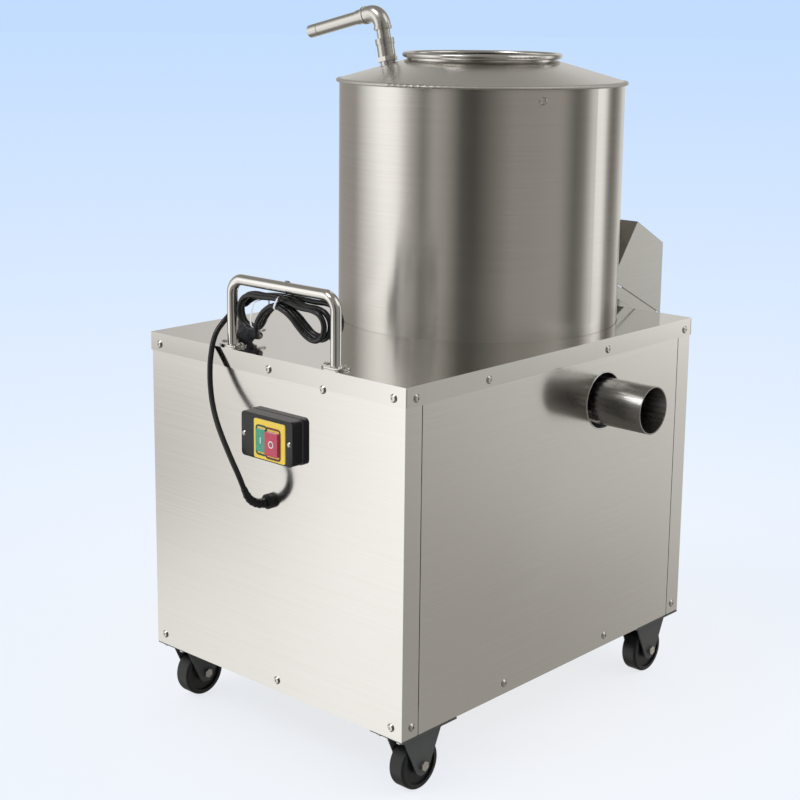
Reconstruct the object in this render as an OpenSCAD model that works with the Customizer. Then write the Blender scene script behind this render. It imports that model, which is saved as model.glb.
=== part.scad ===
// Electric potato peeler: a floor-standing batch machine on four rigid casters.
// Z is up from the floor. The switch faces -Y, the drain +X and the discharge chute +Y.
// The origin is on the floor, under the middle of the machine's overall box.
// The modules are written about the middle of the cabinet, and placed() moves them to that origin.

/* [Cabinet] */
// Height of the sheet cabinet
cab_h = 500; // [415:5:600]
// Room between the drum and each side face of the cabinet
side_room = 37; // [34:1:80]
// Room in front of the drum, where the motor stands
front_room = 236; // [225:1:300]
// Room between the drum and the rear face
rear_room = 4; // [4:0.5:40]
// Height of the cabinet's lower edge above the floor
caster_h = 95; // [79:1:120]
// Thickness of the stainless sheet of the cabinet and the drum
sheet_t = 1.5; // [1:0.1:2]
// Height of the turned-down edge of the top cover
cover_edge = 28; // [24:1:40]
// Depth of the front and rear panels' side returns
return_w = 33; // [20:1:60]
// Open seam between a return and a side panel
seam_gap = 1.5; // [0.5:0.1:3]

/* [Frame] */
// Leg of the angle steel of the lower frame, of the posts, and height of the middle frame
angle_w = 40; // [30:1:50]
// Leg of the angle steel of the upper frame
rail_w = 30; // [20:1:34]
// Thickness of the frame steel
angle_t = 3; // [2:0.5:5]
// Distance of the cross tubes from the drum's axis
cross_y = 100; // [98:1:120]

/* [Drum] */
// Outside diameter of the peeling drum
drum_d = 450; // [375:5:540]
// Height of the drum's top edge above the cabinet
drum_rise = 373; // [310:1:450]
// Depth of the drum's bottom edge below the cabinet's top
drum_sink = 138; // [115:1:166]
// Thickness of the chamber floor under the disc
floor_t = 5; // [4:0.5:8]
// Thickness of the abrasive liner with its glue
liner_t = 6; // [3:0.5:9]
// Free height between the liner and the drum's top edge
liner_top_gap = 60; // [40:1:100]
// Inside radius of the feed ring's neck
feed_r = 117.5; // [100:0.5:130]
// Height of the lid's cone
cone_h = 31; // [15:1:45]
// Height of the neck between the cone and the ring bead
neck_h = 5; // [4:1:20]
// Radius of the ring bead around the feed opening
ring_r = 4.5; // [3:0.5:7]

/* [Disc and drive] */
// Height of the disc's working face above the cabinet's top
disc_rise = 45; // [38:1:54]
// Thickness of the disc plate
disc_t = 12; // [8:1:16]
// Thickness of the disc's abrasive layer
grit_t = 3; // [2:0.5:4]
// Gap between the disc and the liner, where the peel goes down
peel_gap = 5; // [3:0.5:9]
// Radius of the main shaft
shaft_r = 15; // [12:0.5:17]
// Radius of the large pulley
big_pulley_r = 150; // [125:1:160]
// Radius of the small pulley
small_pulley_r = 33; // [30:1:40]
// Height of both pulleys
pulley_h = 40; // [36:1:48]
// Height of the pulleys above the cabinet's lower edge
pulley_rise = 62; // [52:1:80]
// Distance of the motor's axis from the front face
motor_inset = 134; // [134:1:160]
// Radius of the motor's stator body
motor_r = 66; // [55:1:68]
// Height of the motor's body
motor_h = 180; // [160:1:200]

/* [Drain and water] */
// Outside radius of the drain pipe
drain_r = 36.5; // [30:0.5:44]
// Wall of the drain pipe
drain_wall = 2; // [1.5:0.1:3]
// How much wider the pipe's hose end is than the length inside the cabinet
hose_swage = 0.5; // [0.2:0.1:1]
// Length of the drain pipe outside the cabinet
drain_out = 88; // [60:1:120]
// Gap around the drain pipe in the side panel
drain_gap = 7.5; // [3:0.5:12]
// Radius of the water pipe, half-inch size
water_r = 10.65; // [10:0.05:11]
// Bore radius of the water fittings
water_bore = 8; // [6:0.5:8.5]
// Height of the elbow's middle above the lid, along the tilted pipe
inlet_rise = 84; // [78:1:100]
// Length of the spout from the elbow's middle
spout_len = 160; // [130:1:200]
// Tilt of the water inlet
inlet_tilt = 12.5; // [0:0.5:15]

/* [Chute] */
// Half width of the discharge opening in the drum
mouth_x = 85; // [70:1:95]
// Height of the discharge opening
mouth_h = 100; // [80:1:110]
// Half width of the hood and the trough
chute_x = 120; // [112:1:130]
// Reach of the hood's outer face behind the cabinet
chute_out = 126; // [110:1:150]
// Slope of the trough and of its joint with the hood
chute_slope = 26.9; // [22:0.1:30]
// Depth of the trough below its joint with the hood
trough_depth = 24; // [18:1:30]
// Upward travel of the gate
gate_travel = 105; // [90:1:105]

/* [Handle and casters] */
// Distance between the legs of the push handle
handle_span = 212; // [180:1:260]
// Height of the push handle's bar above the cabinet
handle_h = 100; // [85:1:120]
// Radius of the handle's tube
handle_r = 8; // [7:0.5:10]
// Radius of a caster wheel
wheel_r = 37.5; // [31:0.5:40]
// Width of a caster wheel
wheel_w = 27; // [22:1:32]
// Radius of the wheels' axle bolts
axle_r = 4; // [3:0.5:5]

/* [Switch] */
// Width of the switch cover
switch_w = 104; // [100:1:124]
// Height of the switch cover
switch_h = 65; // [62:1:78]
// Depth of the switch base
base_depth = 12; // [10:1:16]
// Depth of the switch cover
cover_depth = 20; // [18:1:26]
// Travel of the two buttons
button_travel = 4; // [2:0.5:4]

/* [Hidden] */
$fn = 72;

// Clearances: holes for screws, running fits, seats that are pressed or keyed, and moving faces
hole_gap = 0.15;
run_gap = 0.03;
seat_gap = 0.02;
move_gap = 0.3;
eps = 1;

// Cabinet planes
drum_r = drum_d / 2;
cab_w = drum_d + 2 * side_room;
cab_d = front_room + drum_d + rear_room;
z_low = caster_h;
z_top = caster_h + cab_h;
face_x = cab_w / 2;
face_y = cab_d / 2;
panel_x = face_x - sheet_t;
panel_y = face_y - sheet_t;
frame_x = panel_x - sheet_t;
frame_y = panel_y - sheet_t;

// Drum and disc heights
drum_y = face_y - rear_room - drum_r;
drum_low = z_top - drum_sink;
drum_top = z_top + drum_rise;
drum_in = drum_r - sheet_t;
liner_in = drum_in - liner_t;
disc_top = z_top + disc_rise;
plate_low = disc_top - grit_t - disc_t;
disc_r = liner_in - peel_gap;
mouth_low = disc_top - 5;
mouth_turn = asin(mouth_x / drum_r);
drum_bolt_x = drum_r - 76.5;

// Lid profile
rim_bead = 2.75;
rim_r = drum_r + 5 - rim_bead;
cone_low = drum_top + 3.5;
cone_in = feed_r + sheet_t / 2;
cone_top = cone_low + cone_h;
bead_z = cone_top + neck_h + 3.5;
bead_place = feed_r + 4;
collar_h = 26;
lid_screw_z = drum_top - 16;
lid_screw_turns = [-27, 93, 213];

// Screws: pan heads and hex bolts
pan_r = 6;
pan_h = 3.2;
pan_rim_h = 1.3;
pan_top_r = 4;
socket_r = 2.4;
screw_r = 3;
screw_len = 10;
bolt_r = 4;
bolt_head_h = 5.3;
nut_af = 13;
top_row = cover_edge - 11;
low_row = 17;
row_inset = 21;
middle_side_top = [-173, 111];
middle_side_low = [-121, 131];
rear_middle = 140;
edge_screw_x = 109;
low_screw_x = 13.5;

// Drive
motor_y = -face_y + motor_inset;
belt_run = drum_y - motor_y;
pulley_low = z_low + pulley_rise;
pulley_top = pulley_low + pulley_h;
hub_top = pulley_top + 18;
housing_low = hub_top + 30;
housing_r = 40;
flange_r = 75;
flange_t = 10;
bearing_r = 31;
bearing_h = 16;
spigot_r = 36;
spigot_h = 13;
seal_r = 24;
seal_h = 7;
shaft_low = pulley_low - 7;
collar_r = shaft_r + 4;
hub_h = 25;
sweeper_low = drum_low + floor_t + spigot_h + 5;
thread_r = 8;
belt_w = 8;
belt_t = 9;
belt_sunk = 0.5;
belt_places = [0.29, 0.71];
groove_depth = 10;

// Motor, around its own axis
motor_low = hub_top;
motor_top = motor_low + motor_h;
motor_shaft_r = 9.5;
fin_r = motor_r + 11;
cowl_r = motor_r + 9;
cowl_h = 50;
plate_y = 80;
plate_t = 8;
plate_x = 100;
upright_x = 85;
upright_w = 30;
foot_x = 52;

// Casters
caster_x = face_x - 31.5;
caster_y = face_y - 60;
plate_w = 62;
plate_l = 114;
fork_t = 2.5;
fork_x = wheel_w / 2 + 2 + fork_t;
axle_z = wheel_r;
caster_bolt_x = 19;
caster_bolt_y = 48.5;
caster_bolt_r = 3;
caster_nut_af = 10;
caster_nut_h = 5;

// Switch, about the middle of its back face
switch_x = 27.5;
switch_z = z_top - 107.5;
yellow_size = [63, 57];
yellow_place = [7, -2];
yellow_t = 1.5;
wall_t = 2.5;
start_place = [-8.8, -3.5];
start_size = [17.4, 32.4];
start_rise = 2.5;
stop_place = [14.65, -5];
stop_size = [25.3, 34];
stop_rise = 4.5;
switch_front = base_depth + cover_depth;
cable_hole_x = -8;
cover_screw_x = switch_w / 2 - 6;

// Handle
handle_x = 8;
handle_y = -face_y + 20;
bend_r = 22;
foot_screw_x = 16;
foot_t = 3;

// Water inlet, seated on the lid's cone
inlet_x = -122;
inlet_y = drum_y - 86;
inlet_r = norm([inlet_x, inlet_y - drum_y]);
inlet_z = cone_low + sheet_t + cone_h * (rim_r - inlet_r) / (rim_r - cone_in);
elbow_r = 13.5;
elbow_turn = 22;
elbow_down = 29;
elbow_out = 34;
nipple_low = 26;

// Drain
drain_y = drum_y - 8;
drain_z = drum_low + floor_t + drain_r;

// Chute profile: reach behind the rear face and height above the cabinet's top
joint_at = 35;
fold_slope = 53.6;
function joint_v(u) = joint_at - u * tan(chute_slope);
tip_u = -22.6;
tip_v = joint_v(tip_u);
ridge_u = 45.7;
ridge_v = tip_v + (ridge_u - tip_u) * tan(fold_slope);
outer_v = ridge_v - (chute_out - ridge_u) * tan(28.7);
lip_v = 48;
joint_gap = 2;
drum_reach = 60;
strap_w = 30;
gusset_x = 60;
gusset_low = -115;
tab_w = 24;

// Gate, about the drum's axis, counted in degrees from +Y
gate_in = drum_r + 0.5;
gate_out = gate_in + sheet_t;
gate_turn = mouth_turn + 2.3;
rail_turn = gate_turn + 0.3;
rail_end = rail_turn + 3.2;
rail_lip = gate_turn - 1.5;
rail_out = gate_out + 0.5 + sheet_t;
gate_low = mouth_low - 5;
gate_high = mouth_low + mouth_h + 25;
knob_turn = gate_turn - 0.6;
knob_z = gate_high - 15;

// Overall box, for the origin
spout_end_x = -inlet_x + inlet_rise * sin(inlet_tilt) + spout_len * cos(inlet_tilt)
    + water_r * sin(inlet_tilt);
origin_x = (face_x + drain_out - spout_end_x) / 2;
origin_y = (chute_out + sheet_t - switch_front - yellow_t - stop_rise) / 2;

// Cord: radius, and hand-laid routes about the cabinet's middle
cord_r = 4;
cord_sides = 10;
gland_x = 1;
gland_z = 384;
lead_route = [
    [1, -358, 384], [1, -366, 385], [0, -374, 388], [-1, -381, 393], [-3, -386, 401],
    [-6, -389, 411], [-11, -390, 421], [-19, -390, 433], [-30, -389, 446], [-43, -387, 461],
    [-58, -384, 478], [-73, -380, 496], [-86, -375, 514], [-96, -370, 532], [-107, -362, 562],
    [-114, -353, 586], [-118, -345, 602], [-119, -337, 615], [-118, -328, 625],
    [-114, -320, 635], [-108, -314, 645], [-99, -311, 652], [-92, -311, 655], [-86.2, -311, 656]
];
supply_route = [
    [1, -334, 384], [1, -323, 385], [2, -313, 390], [3, -307, 400], [5, -305, 414], [8, -304, 430],
    [11, -304, 446], [14, -305, 460], [15, -309, 472], [15, -317, 481], [15, -329, 487],
    [15, -340, 488], [15, -351.5, 488]
];
motor_route = [
    [24, -351.5, 488], [24, -340, 488], [26, -325, 486], [34, -307, 482], [48, -288, 475],
    [62, -268, 466], [76, -248, 452], [85, -232, 434], [89, -220, 414], [90, -213, 394],
    [90, -211, 368]
];
hank_left = [-57, 651];
hank_left_r = 29;
hank_right = [78, 661];
hank_right_r = 23;
hank_y = -319;
hank_w = 24;
plug_at = [-109, -294.5, 608.7];
tie_t = 1.2;
tie_w = 4;
tie_gap = 0.3;
hang_tie_x = 8;
hang_tie_low = 628.5;
hang_tie_high = 682.5;
band_tie_x = -60;

// ---- shared shapes ----

module placed() {
    translate([-origin_x, -origin_y, 0]) children();
}

module about_drum() {
    translate([0, drum_y, 0]) children();
}

module about_motor() {
    translate([0, motor_y, 0]) children();
}

// A cylinder from height z0 to height z1
module rod(r, z0, z1) {
    translate([0, 0, z0]) cylinder(h = z1 - z0, r = r);
}

module tube(r_out, r_in, z0, z1) {
    difference() {
        rod(r_out, z0, z1);
        rod(r_in, z0 - eps, z1 + eps);
    }
}

module hex_prism(across_flats, z0, z1) {
    translate([0, 0, z0]) cylinder(h = z1 - z0, r = across_flats / 2 / cos(30), $fn = 6);
}

// A box between two corners
module box(low, high) {
    translate(low) cube(high - low);
}

module round_rect(size, r) {
    square([size.x - 2 * r, size.y], center = true);
    square([size.x, size.y - 2 * r], center = true);
    for (sx = [-1, 1], sy = [-1, 1])
        translate([sx * (size.x / 2 - r), sy * (size.y / 2 - r)]) circle(r);
}

// A flat link: rounds of r1 at the origin and r2 at distance d along X, with their tangents
module link(r1, r2, d) {
    hull() {
        circle(r1);
        translate([d, 0]) circle(r2);
    }
}

// A plate bent round the Z axis, from a0 to a1 in degrees from +Y
module bent_plate(r_in, r_out, a0, a1, z0, z1) {
    rotate([0, 0, 90 + a0]) rotate_extrude(angle = a1 - a0)
        translate([r_in, z0]) square([r_out - r_in, z1 - z0]);
}

// Local Z becomes the outward direction of a cabinet face
module on_front(x, z) {
    translate([x, -face_y, z]) rotate([90, 0, 0]) children();
}

module on_rear(x, z) {
    translate([x, face_y, z]) rotate([-90, 0, 0]) children();
}

module on_sides(y, z) {
    translate([face_x, y, z]) rotate([0, 90, 0]) children();
    translate([-face_x, y, z]) rotate([0, -90, 0]) children();
}

module pan_screw() {
    difference() {
        union() {
            rod(pan_r, 0, pan_rim_h);
            translate([0, 0, pan_rim_h]) cylinder(h = pan_h - pan_rim_h, r1 = pan_r, r2 = pan_top_r);
            rod(screw_r, -screw_len, eps / 2);
        }
        translate([0, 0, pan_h / 2]) cylinder(h = pan_h, r = socket_r, $fn = 6);
    }
}

module screw_hole() {
    rod(screw_r + hole_gap, -screw_len - eps, eps);
}

module cabinet_screws() {
    sunk = [0, 0, -sheet_t];
    edge_x = face_x - row_inset;
    edge_y = face_y - row_inset;
    for (x = [-edge_x, 0, edge_x]) on_front(x, z_top - top_row) children();
    for (x = [-edge_x, low_screw_x, edge_x])
        on_front(x, z_low + low_row) translate(sunk) children();
    for (x = [-edge_x, -rear_middle, rear_middle, edge_x]) {
        on_rear(x, z_top - top_row) children();
        on_rear(x, z_low + low_row) translate(sunk) children();
    }
    for (y = concat([-edge_y], middle_side_top, [edge_y])) on_sides(y, z_top - top_row) children();
    for (y = concat([-edge_y], middle_side_low, [edge_y]))
        on_sides(y, z_low + low_row) translate(sunk) children();
}

module handle_screws() {
    for (leg = [-1, 1], side = [-1, 1])
        translate([handle_x + leg * handle_span / 2 + side * foot_screw_x, handle_y, z_top + foot_t])
            children();
}

module lid_screws() {
    about_drum() for (a = lid_screw_turns)
        rotate([0, 0, a]) translate([drum_r, 0, lid_screw_z]) rotate([0, 90, 0]) children();
}

module gusset_screws() {
    for (side = [-1, 1], v = [-50, -98])
        on_rear(side * (gusset_x + tab_w / 2), z_top + v) children();
}

module caster_places() {
    for (sx = [-1, 1], sy = [-1, 1]) translate([sx * caster_x, sy * caster_y, 0]) children();
}

module caster_bolt_places() {
    caster_places() for (sx = [-1, 1], sy = [-1, 1])
        translate([sx * caster_bolt_x, sy * caster_bolt_y, z_low]) children();
}

module housing_bolt_places() {
    about_drum() for (a = [45 : 90 : 315])
        rotate([0, 0, a]) translate([(flange_r + housing_r) / 2, 0, drum_low]) children();
}

module drum_bolt_places() {
    for (sx = [-1, 1], sy = [-1, 1])
        translate([sx * drum_bolt_x, drum_y + sy * cross_y, drum_low]) children();
}

// Sweeps a round cord along points; ref is a direction that the cord never takes
function unit(v) = v / norm(v);
function heading(p, i) = unit(p[min(i + 1, len(p) - 1)] - p[max(i - 1, 0)]);
function cord_ring(p, i, ref) = let (
    t = heading(p, i), n = unit(cross(t, ref)), b = cross(t, n)
) [for (k = [0 : cord_sides - 1])
    p[i] + cord_r * (cos(360 * k / cord_sides) * n + sin(360 * k / cord_sides) * b)];
module swept_cord(p, ref) {
    last = (len(p) - 1) * cord_sides;
    polyhedron(
        points = [for (i = [0 : len(p) - 1]) each cord_ring(p, i, ref)],
        faces = concat(
            [[for (k = [0 : cord_sides - 1]) k]],
            [for (i = [0 : len(p) - 2], k = [0 : cord_sides - 1])
                let (a = i * cord_sides + k, b = i * cord_sides + (k + 1) % cord_sides)
                [b, a, a + cord_sides, b + cord_sides]],
            [[for (k = [cord_sides - 1 : -1 : 0]) last + k]]
        )
    );
}

// ---- frame ----

// An angle-steel ring: outer faces at x, y, with its flat leg at the bottom
module angle_ring(x, y, w, t, z0) {
    difference() {
        box([-x, -y, z0], [x, y, z0 + w]);
        box([-x + t, -y + t, z0 + t], [x - t, y - t, z0 + w + eps]);
        box([-x + w, -y + w, z0 - eps], [x - w, y - w, z0 + w + eps]);
    }
}

module lower_frame() {
    upright_top = max(drum_low, motor_top + 10);
    front = -frame_y + angle_t;
    back = motor_y - plate_y - plate_t;
    color("dimgray") difference() {
        union() {
            angle_ring(frame_x, frame_y, angle_w, angle_t, z_low);
            for (sx = [-1, 1], sy = [-1, 1])
                translate([sx * (frame_x - plate_w / 2), sy * (frame_y - plate_l / 2), z_low + angle_t / 2])
                    cube([plate_w, plate_l, angle_t], center = true);
            for (side = [-1, 1])
                box([side * upright_x - upright_w / 2, front, z_low],
                    [side * upright_x + upright_w / 2, back, upright_top]);
        }
        for (side = [-1, 1])
            box([side * upright_x - upright_w / 2 + angle_t, front + angle_t, z_low + angle_t],
                [side * upright_x + upright_w / 2 - angle_t, back - angle_t, upright_top + eps]);
        caster_bolt_places() rod(caster_bolt_r + hole_gap, -eps, angle_t + eps);
        cabinet_screws() screw_hole();
        motor_plate_bolts() rod(bolt_r + hole_gap, -plate_t - angle_t - eps, eps);
    }
}

module middle_frame() {
    z0 = drum_low - angle_w;
    color("dimgray") difference() {
        union() {
            difference() {
                box([-frame_x, -frame_y, z0], [frame_x, frame_y, drum_low]);
                box([-frame_x + angle_t, -frame_y + angle_t, z0 - eps],
                    [frame_x - angle_t, frame_y - angle_t, drum_low + eps]);
            }
            for (side = [-1, 1])
                box([-frame_x + eps, drum_y + side * cross_y - angle_w / 2, z0],
                    [frame_x - eps, drum_y + side * cross_y + angle_w / 2, drum_low]);
        }
        for (side = [-1, 1])
            box([-frame_x + eps + angle_t, drum_y + side * cross_y - angle_w / 2 + angle_t, z0 + angle_t],
                [frame_x - eps - angle_t, drum_y + side * cross_y + angle_w / 2 - angle_t,
                 drum_low - angle_t]);
        drum_bolt_places() rod(bolt_r + hole_gap, -angle_w - eps, eps);
    }
}

module upper_frame() {
    z1 = z_top - sheet_t;
    color("dimgray") difference() {
        box([-frame_x, -frame_y, z1 - rail_w], [frame_x, frame_y, z1]);
        box([-frame_x + angle_t, -frame_y + angle_t, z1 - rail_w - eps],
            [frame_x - angle_t, frame_y + eps, z1 - angle_t]);
        box([-frame_x + rail_w, -frame_y + rail_w, z1 - angle_t - eps],
            [frame_x - rail_w, frame_y + eps, z1 + eps]);
        cabinet_screws() screw_hole();
        on_front(edge_screw_x, z_top - cover_edge) screw_hole();
        handle_screws() screw_hole();
    }
}

// The posts stand inside the two rings, above the casters' nuts
module corner_posts() {
    x = frame_x - angle_t;
    y = frame_y - angle_t;
    z0 = z_low + angle_t + caster_nut_h + 3;
    z1 = z_top - sheet_t - angle_t;
    color("dimgray") difference() {
        for (sx = [0, 1], sy = [0, 1]) mirror([sx, 0, 0]) mirror([0, sy, 0]) difference() {
            box([x - angle_w, y - angle_w, z0], [x, y, z1]);
            box([x - angle_w - eps, y - angle_w - eps, z0 - eps], [x - angle_t, y - angle_t, z1 + eps]);
        }
        cabinet_screws() screw_hole();
    }
}

// ---- cabinet sheets ----

// A panel with side returns, at the front of the cabinet
module return_panel() {
    difference() {
        box([-panel_x, -panel_y, z_low], [panel_x, -panel_y + return_w, z_top - sheet_t]);
        box([-frame_x, -frame_y, z_low - eps], [frame_x, -panel_y + return_w + eps, z_top]);
    }
}

module front_panel() {
    color("gainsboro") difference() {
        return_panel();
        cabinet_screws() screw_hole();
        on_front(gland_x, gland_z) rod(8 + hole_gap, -2 * sheet_t - eps, eps);
        on_front(switch_x + cable_hole_x, switch_z) rod(9, -2 * sheet_t - eps, eps);
        on_front(edge_screw_x, z_top - cover_edge) screw_hole();
        for (side = [-1, 1])
            on_front(switch_x + side * cover_screw_x, switch_z) screw_hole();
    }
}

module rear_panel() {
    color("gainsboro") difference() {
        mirror([0, 1, 0]) return_panel();
        cabinet_screws() screw_hole();
        gusset_screws() screw_hole();
    }
}

module side_sheet() {
    y = panel_y - return_w - seam_gap;
    box([frame_x, -y, z_low], [panel_x, y, z_top - sheet_t]);
}

module drain_side_panel() {
    color("darkgray") difference() {
        side_sheet();
        cabinet_screws() screw_hole();
        translate([0, drain_y, drain_z]) rotate([0, 90, 0]) rod(drain_r + drain_gap, 0, face_x + eps);
    }
}

module plain_side_panel() {
    color("darkgray") difference() {
        mirror([1, 0, 0]) side_sheet();
        cabinet_screws() screw_hole();
    }
}

module top_cover() {
    slit = 0.8;
    color("lightgray") difference() {
        box([-face_x, -face_y, z_top - cover_edge], [face_x, face_y, z_top]);
        box([-panel_x, -panel_y, z_top - cover_edge - eps], [panel_x, panel_y, z_top - sheet_t]);
        about_drum() rod(drum_r + 0.6, z_top - cover_edge, z_top + eps);
        for (sx = [0, 1], sy = [0, 1]) mirror([sx, 0, 0]) mirror([0, sy, 0])
            box([panel_x - eps, panel_y - slit, z_top - cover_edge - eps],
                [face_x + eps, panel_y, z_top - sheet_t - eps]);
        cabinet_screws() screw_hole();
        handle_screws() screw_hole();
        on_front(edge_screw_x, z_top - cover_edge) screw_hole();
    }
}

// ---- fasteners ----

module machine_screws() {
    color("silver") {
        cabinet_screws() pan_screw();
        on_front(edge_screw_x, z_top - cover_edge) pan_screw();
        handle_screws() pan_screw();
        lid_screws() pan_screw();
        gusset_screws() pan_screw();
        for (side = [-1, 1])
            on_front(switch_x + side * cover_screw_x, switch_z)
                translate([0, 0, switch_front - sheet_t]) scale(0.6) pan_screw();
    }
}

// Bolts of the motor's feet and of its plate, along +Y and -Y
module motor_foot_bolts() {
    for (side = [-1, 1], z = [motor_low + 35, motor_top - 35])
        translate([side * foot_x, motor_y - plate_y - plate_t, z]) rotate([90, 0, 0]) children();
}

module motor_plate_bolts() {
    for (side = [-1, 1], z = [motor_low + 10, motor_top - 15])
        translate([side * upright_x, motor_y - plate_y, z]) rotate([-90, 0, 0]) children();
}

module hex_bolts() {
    color("silver") {
        caster_bolt_places() {
            rod(caster_bolt_r, -fork_t - eps, angle_t + caster_nut_h + 1);
            hex_prism(caster_nut_af, -fork_t - 4, -fork_t);
            hex_prism(caster_nut_af, angle_t, angle_t + caster_nut_h);
        }
        housing_bolt_places() {
            rod(bolt_r, -flange_t - eps, floor_t - 2);
            hex_prism(nut_af, -flange_t - bolt_head_h, -flange_t);
        }
        drum_bolt_places() {
            rod(bolt_r, -angle_w - eps, floor_t - 2);
            hex_prism(nut_af, -angle_w - bolt_head_h, -angle_w);
        }
        motor_foot_bolts() {
            rod(bolt_r, -plate_t - 14, eps);
            hex_prism(nut_af, 0, bolt_head_h);
        }
        motor_plate_bolts() {
            rod(bolt_r, -plate_t - angle_t - 8, eps);
            hex_prism(nut_af, 0, bolt_head_h);
        }
    }
}

// ---- handle ----

module push_handle() {
    half = handle_span / 2;
    straight_top = z_top + handle_h - bend_r;
    color("silver") difference() {
        translate([handle_x, handle_y, 0]) {
            for (side = [-1, 1]) {
                translate([side * half, 0, 0]) rod(handle_r, z_top, straight_top);
                translate([side * half, 0, z_top]) linear_extrude(foot_t) {
                    square([20, 26], center = true);
                    for (end = [-1, 1]) translate([end * 10, 0]) circle(13);
                }
            }
            for (m = [0, 1]) mirror([m, 0, 0])
                translate([half - bend_r, 0, straight_top]) rotate([90, 0, 0])
                    rotate_extrude(angle = 90) translate([bend_r, 0]) circle(handle_r);
            translate([0, 0, z_top + handle_h]) rotate([0, 90, 0])
                rod(handle_r, -half + bend_r, half - bend_r);
        }
        handle_screws() screw_hole();
    }
}

// ---- casters ----

module caster_forks() {
    color("dimgray") caster_places() difference() {
        union() {
            box([-plate_w / 2, -plate_l / 2, z_low - fork_t], [plate_w / 2, plate_l / 2, z_low]);
            for (side = [-1, 1])
                translate([side * (fork_x - fork_t / 2), 0, axle_z]) rotate([90, 0, 90])
                    linear_extrude(fork_t, center = true) fork_leg();
        }
        translate([0, 0, axle_z]) rotate([0, 90, 0]) rod(axle_r + seat_gap, -plate_w, plate_w);
        for (sx = [-1, 1], sy = [-1, 1])
            translate([sx * caster_bolt_x, sy * caster_bolt_y, z_low])
                rod(caster_bolt_r + hole_gap, -fork_t - eps, eps);
    }
}

// Outline of a fork leg about the axle: a wide top that tapers to a round end
module fork_leg() {
    eye_r = 15;
    top = z_low - fork_t / 2 - axle_z;
    half = 43;
    reach = norm([half, top]);
    turn = atan2(top, half) - acos(eye_r / reach);
    circle(eye_r);
    polygon([
        [-half, top], [half, top], [eye_r * cos(turn), eye_r * sin(turn)],
        [-eye_r * cos(turn), eye_r * sin(turn)]
    ]);
}

module caster_axles() {
    nut_h = 6;
    color("silver") caster_places() translate([0, 0, axle_z]) rotate([0, 90, 0]) {
        rod(axle_r, -fork_x - nut_h - 2, fork_x + eps);
        hex_prism(nut_af, -fork_x - nut_h, -fork_x);
        hex_prism(nut_af, fork_x, fork_x + bolt_head_h);
    }
}

// One wheel along its axle, with a round tread edge, dished sides and a hub
module wheel_body() {
    edge = 4;
    dish = 3;
    half = wheel_w / 2;
    difference() {
        union() {
            rod(wheel_r, -half + edge, half - edge);
            rod(wheel_r - edge, -half, half);
            for (side = [-1, 1]) translate([0, 0, side * (half - edge)])
                rotate_extrude() translate([wheel_r - edge, 0]) circle(edge);
        }
        for (side = [-1, 1]) translate([0, 0, side * half])
            tube(wheel_r - 2 * edge, axle_r + 7, -dish, dish);
        rod(axle_r + run_gap, -wheel_w, wheel_w);
    }
}

module wheel_at(sx, sy) {
    color("black") translate([sx * caster_x, sy * caster_y, axle_z]) rotate([0, 90, 0]) wheel_body();
}

module front_right_wheel() {
    wheel_at(1, -1);
}

module front_left_wheel() {
    wheel_at(-1, -1);
}

module rear_right_wheel() {
    wheel_at(1, 1);
}

module rear_left_wheel() {
    wheel_at(-1, 1);
}

// ---- drum ----

module mouth_cut(side_gap) {
    box([-mouth_x - side_gap, 0, mouth_low], [mouth_x + side_gap, drum_r + 20, mouth_low + mouth_h]);
}

module along_drain() {
    translate([0, drain_y, drain_z]) rotate([0, 90, 0]) children();
}

module drum_shell() {
    color("silver") difference() {
        about_drum() tube(drum_r, drum_in, drum_low, drum_top);
        along_drain() rod(drain_r - hose_swage + hole_gap, drum_r / 2, face_x);
        about_drum() mouth_cut(0);
        lid_screws() screw_hole();
    }
}

module chamber_floor() {
    color("silver") difference() {
        about_drum() tube(drum_in, spigot_r + seat_gap, drum_low, drum_low + floor_t);
        housing_bolt_places() rod(bolt_r + hole_gap, -eps, floor_t - 1.5);
        drum_bolt_places() rod(bolt_r + hole_gap, -eps, floor_t - 1.5);
    }
}

module drum_liner() {
    color("gray") about_drum() difference() {
        tube(drum_in, liner_in, mouth_low, drum_top - liner_top_gap);
        mouth_cut(2);
    }
}

// The lid: rim bead, cone, neck and ring bead as one spun piece, with a collar inside the drum
module feed_cover() {
    color("gainsboro") difference() {
        about_drum() {
            rotate_extrude() translate([rim_r, drum_top + rim_bead]) circle(rim_bead);
            rotate_extrude() polygon([
                [rim_r, cone_low], [cone_in, cone_top], [cone_in, cone_top + sheet_t],
                [rim_r, cone_low + sheet_t]
            ]);
            tube(feed_r + sheet_t, feed_r, cone_top, bead_z);
            rotate_extrude() translate([bead_place, bead_z]) circle(ring_r);
            tube(drum_in - hole_gap, drum_in - hole_gap - sheet_t, drum_top - collar_h, drum_top + 5);
        }
        on_inlet() rod(12 + hole_gap, -20, 20);
        lid_screws() screw_hole();
    }
}

// ---- drain ----

// The hose end outside the cabinet is swaged up a little, and the rest runs in to the drum
module drain_pipe() {
    color("silver") difference() {
        along_drain() union() {
            rod(drain_r - hose_swage, drum_r / 2, face_x + drain_out);
            rod(drain_r, face_x, face_x + drain_out);
        }
        along_drain() rod(drain_r - drain_wall, 0, face_x + drain_out + eps);
        about_drum() rod(drum_in, drain_z - 2 * drain_r, drain_z + 2 * drain_r);
    }
}

// ---- bearings and shaft ----

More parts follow.
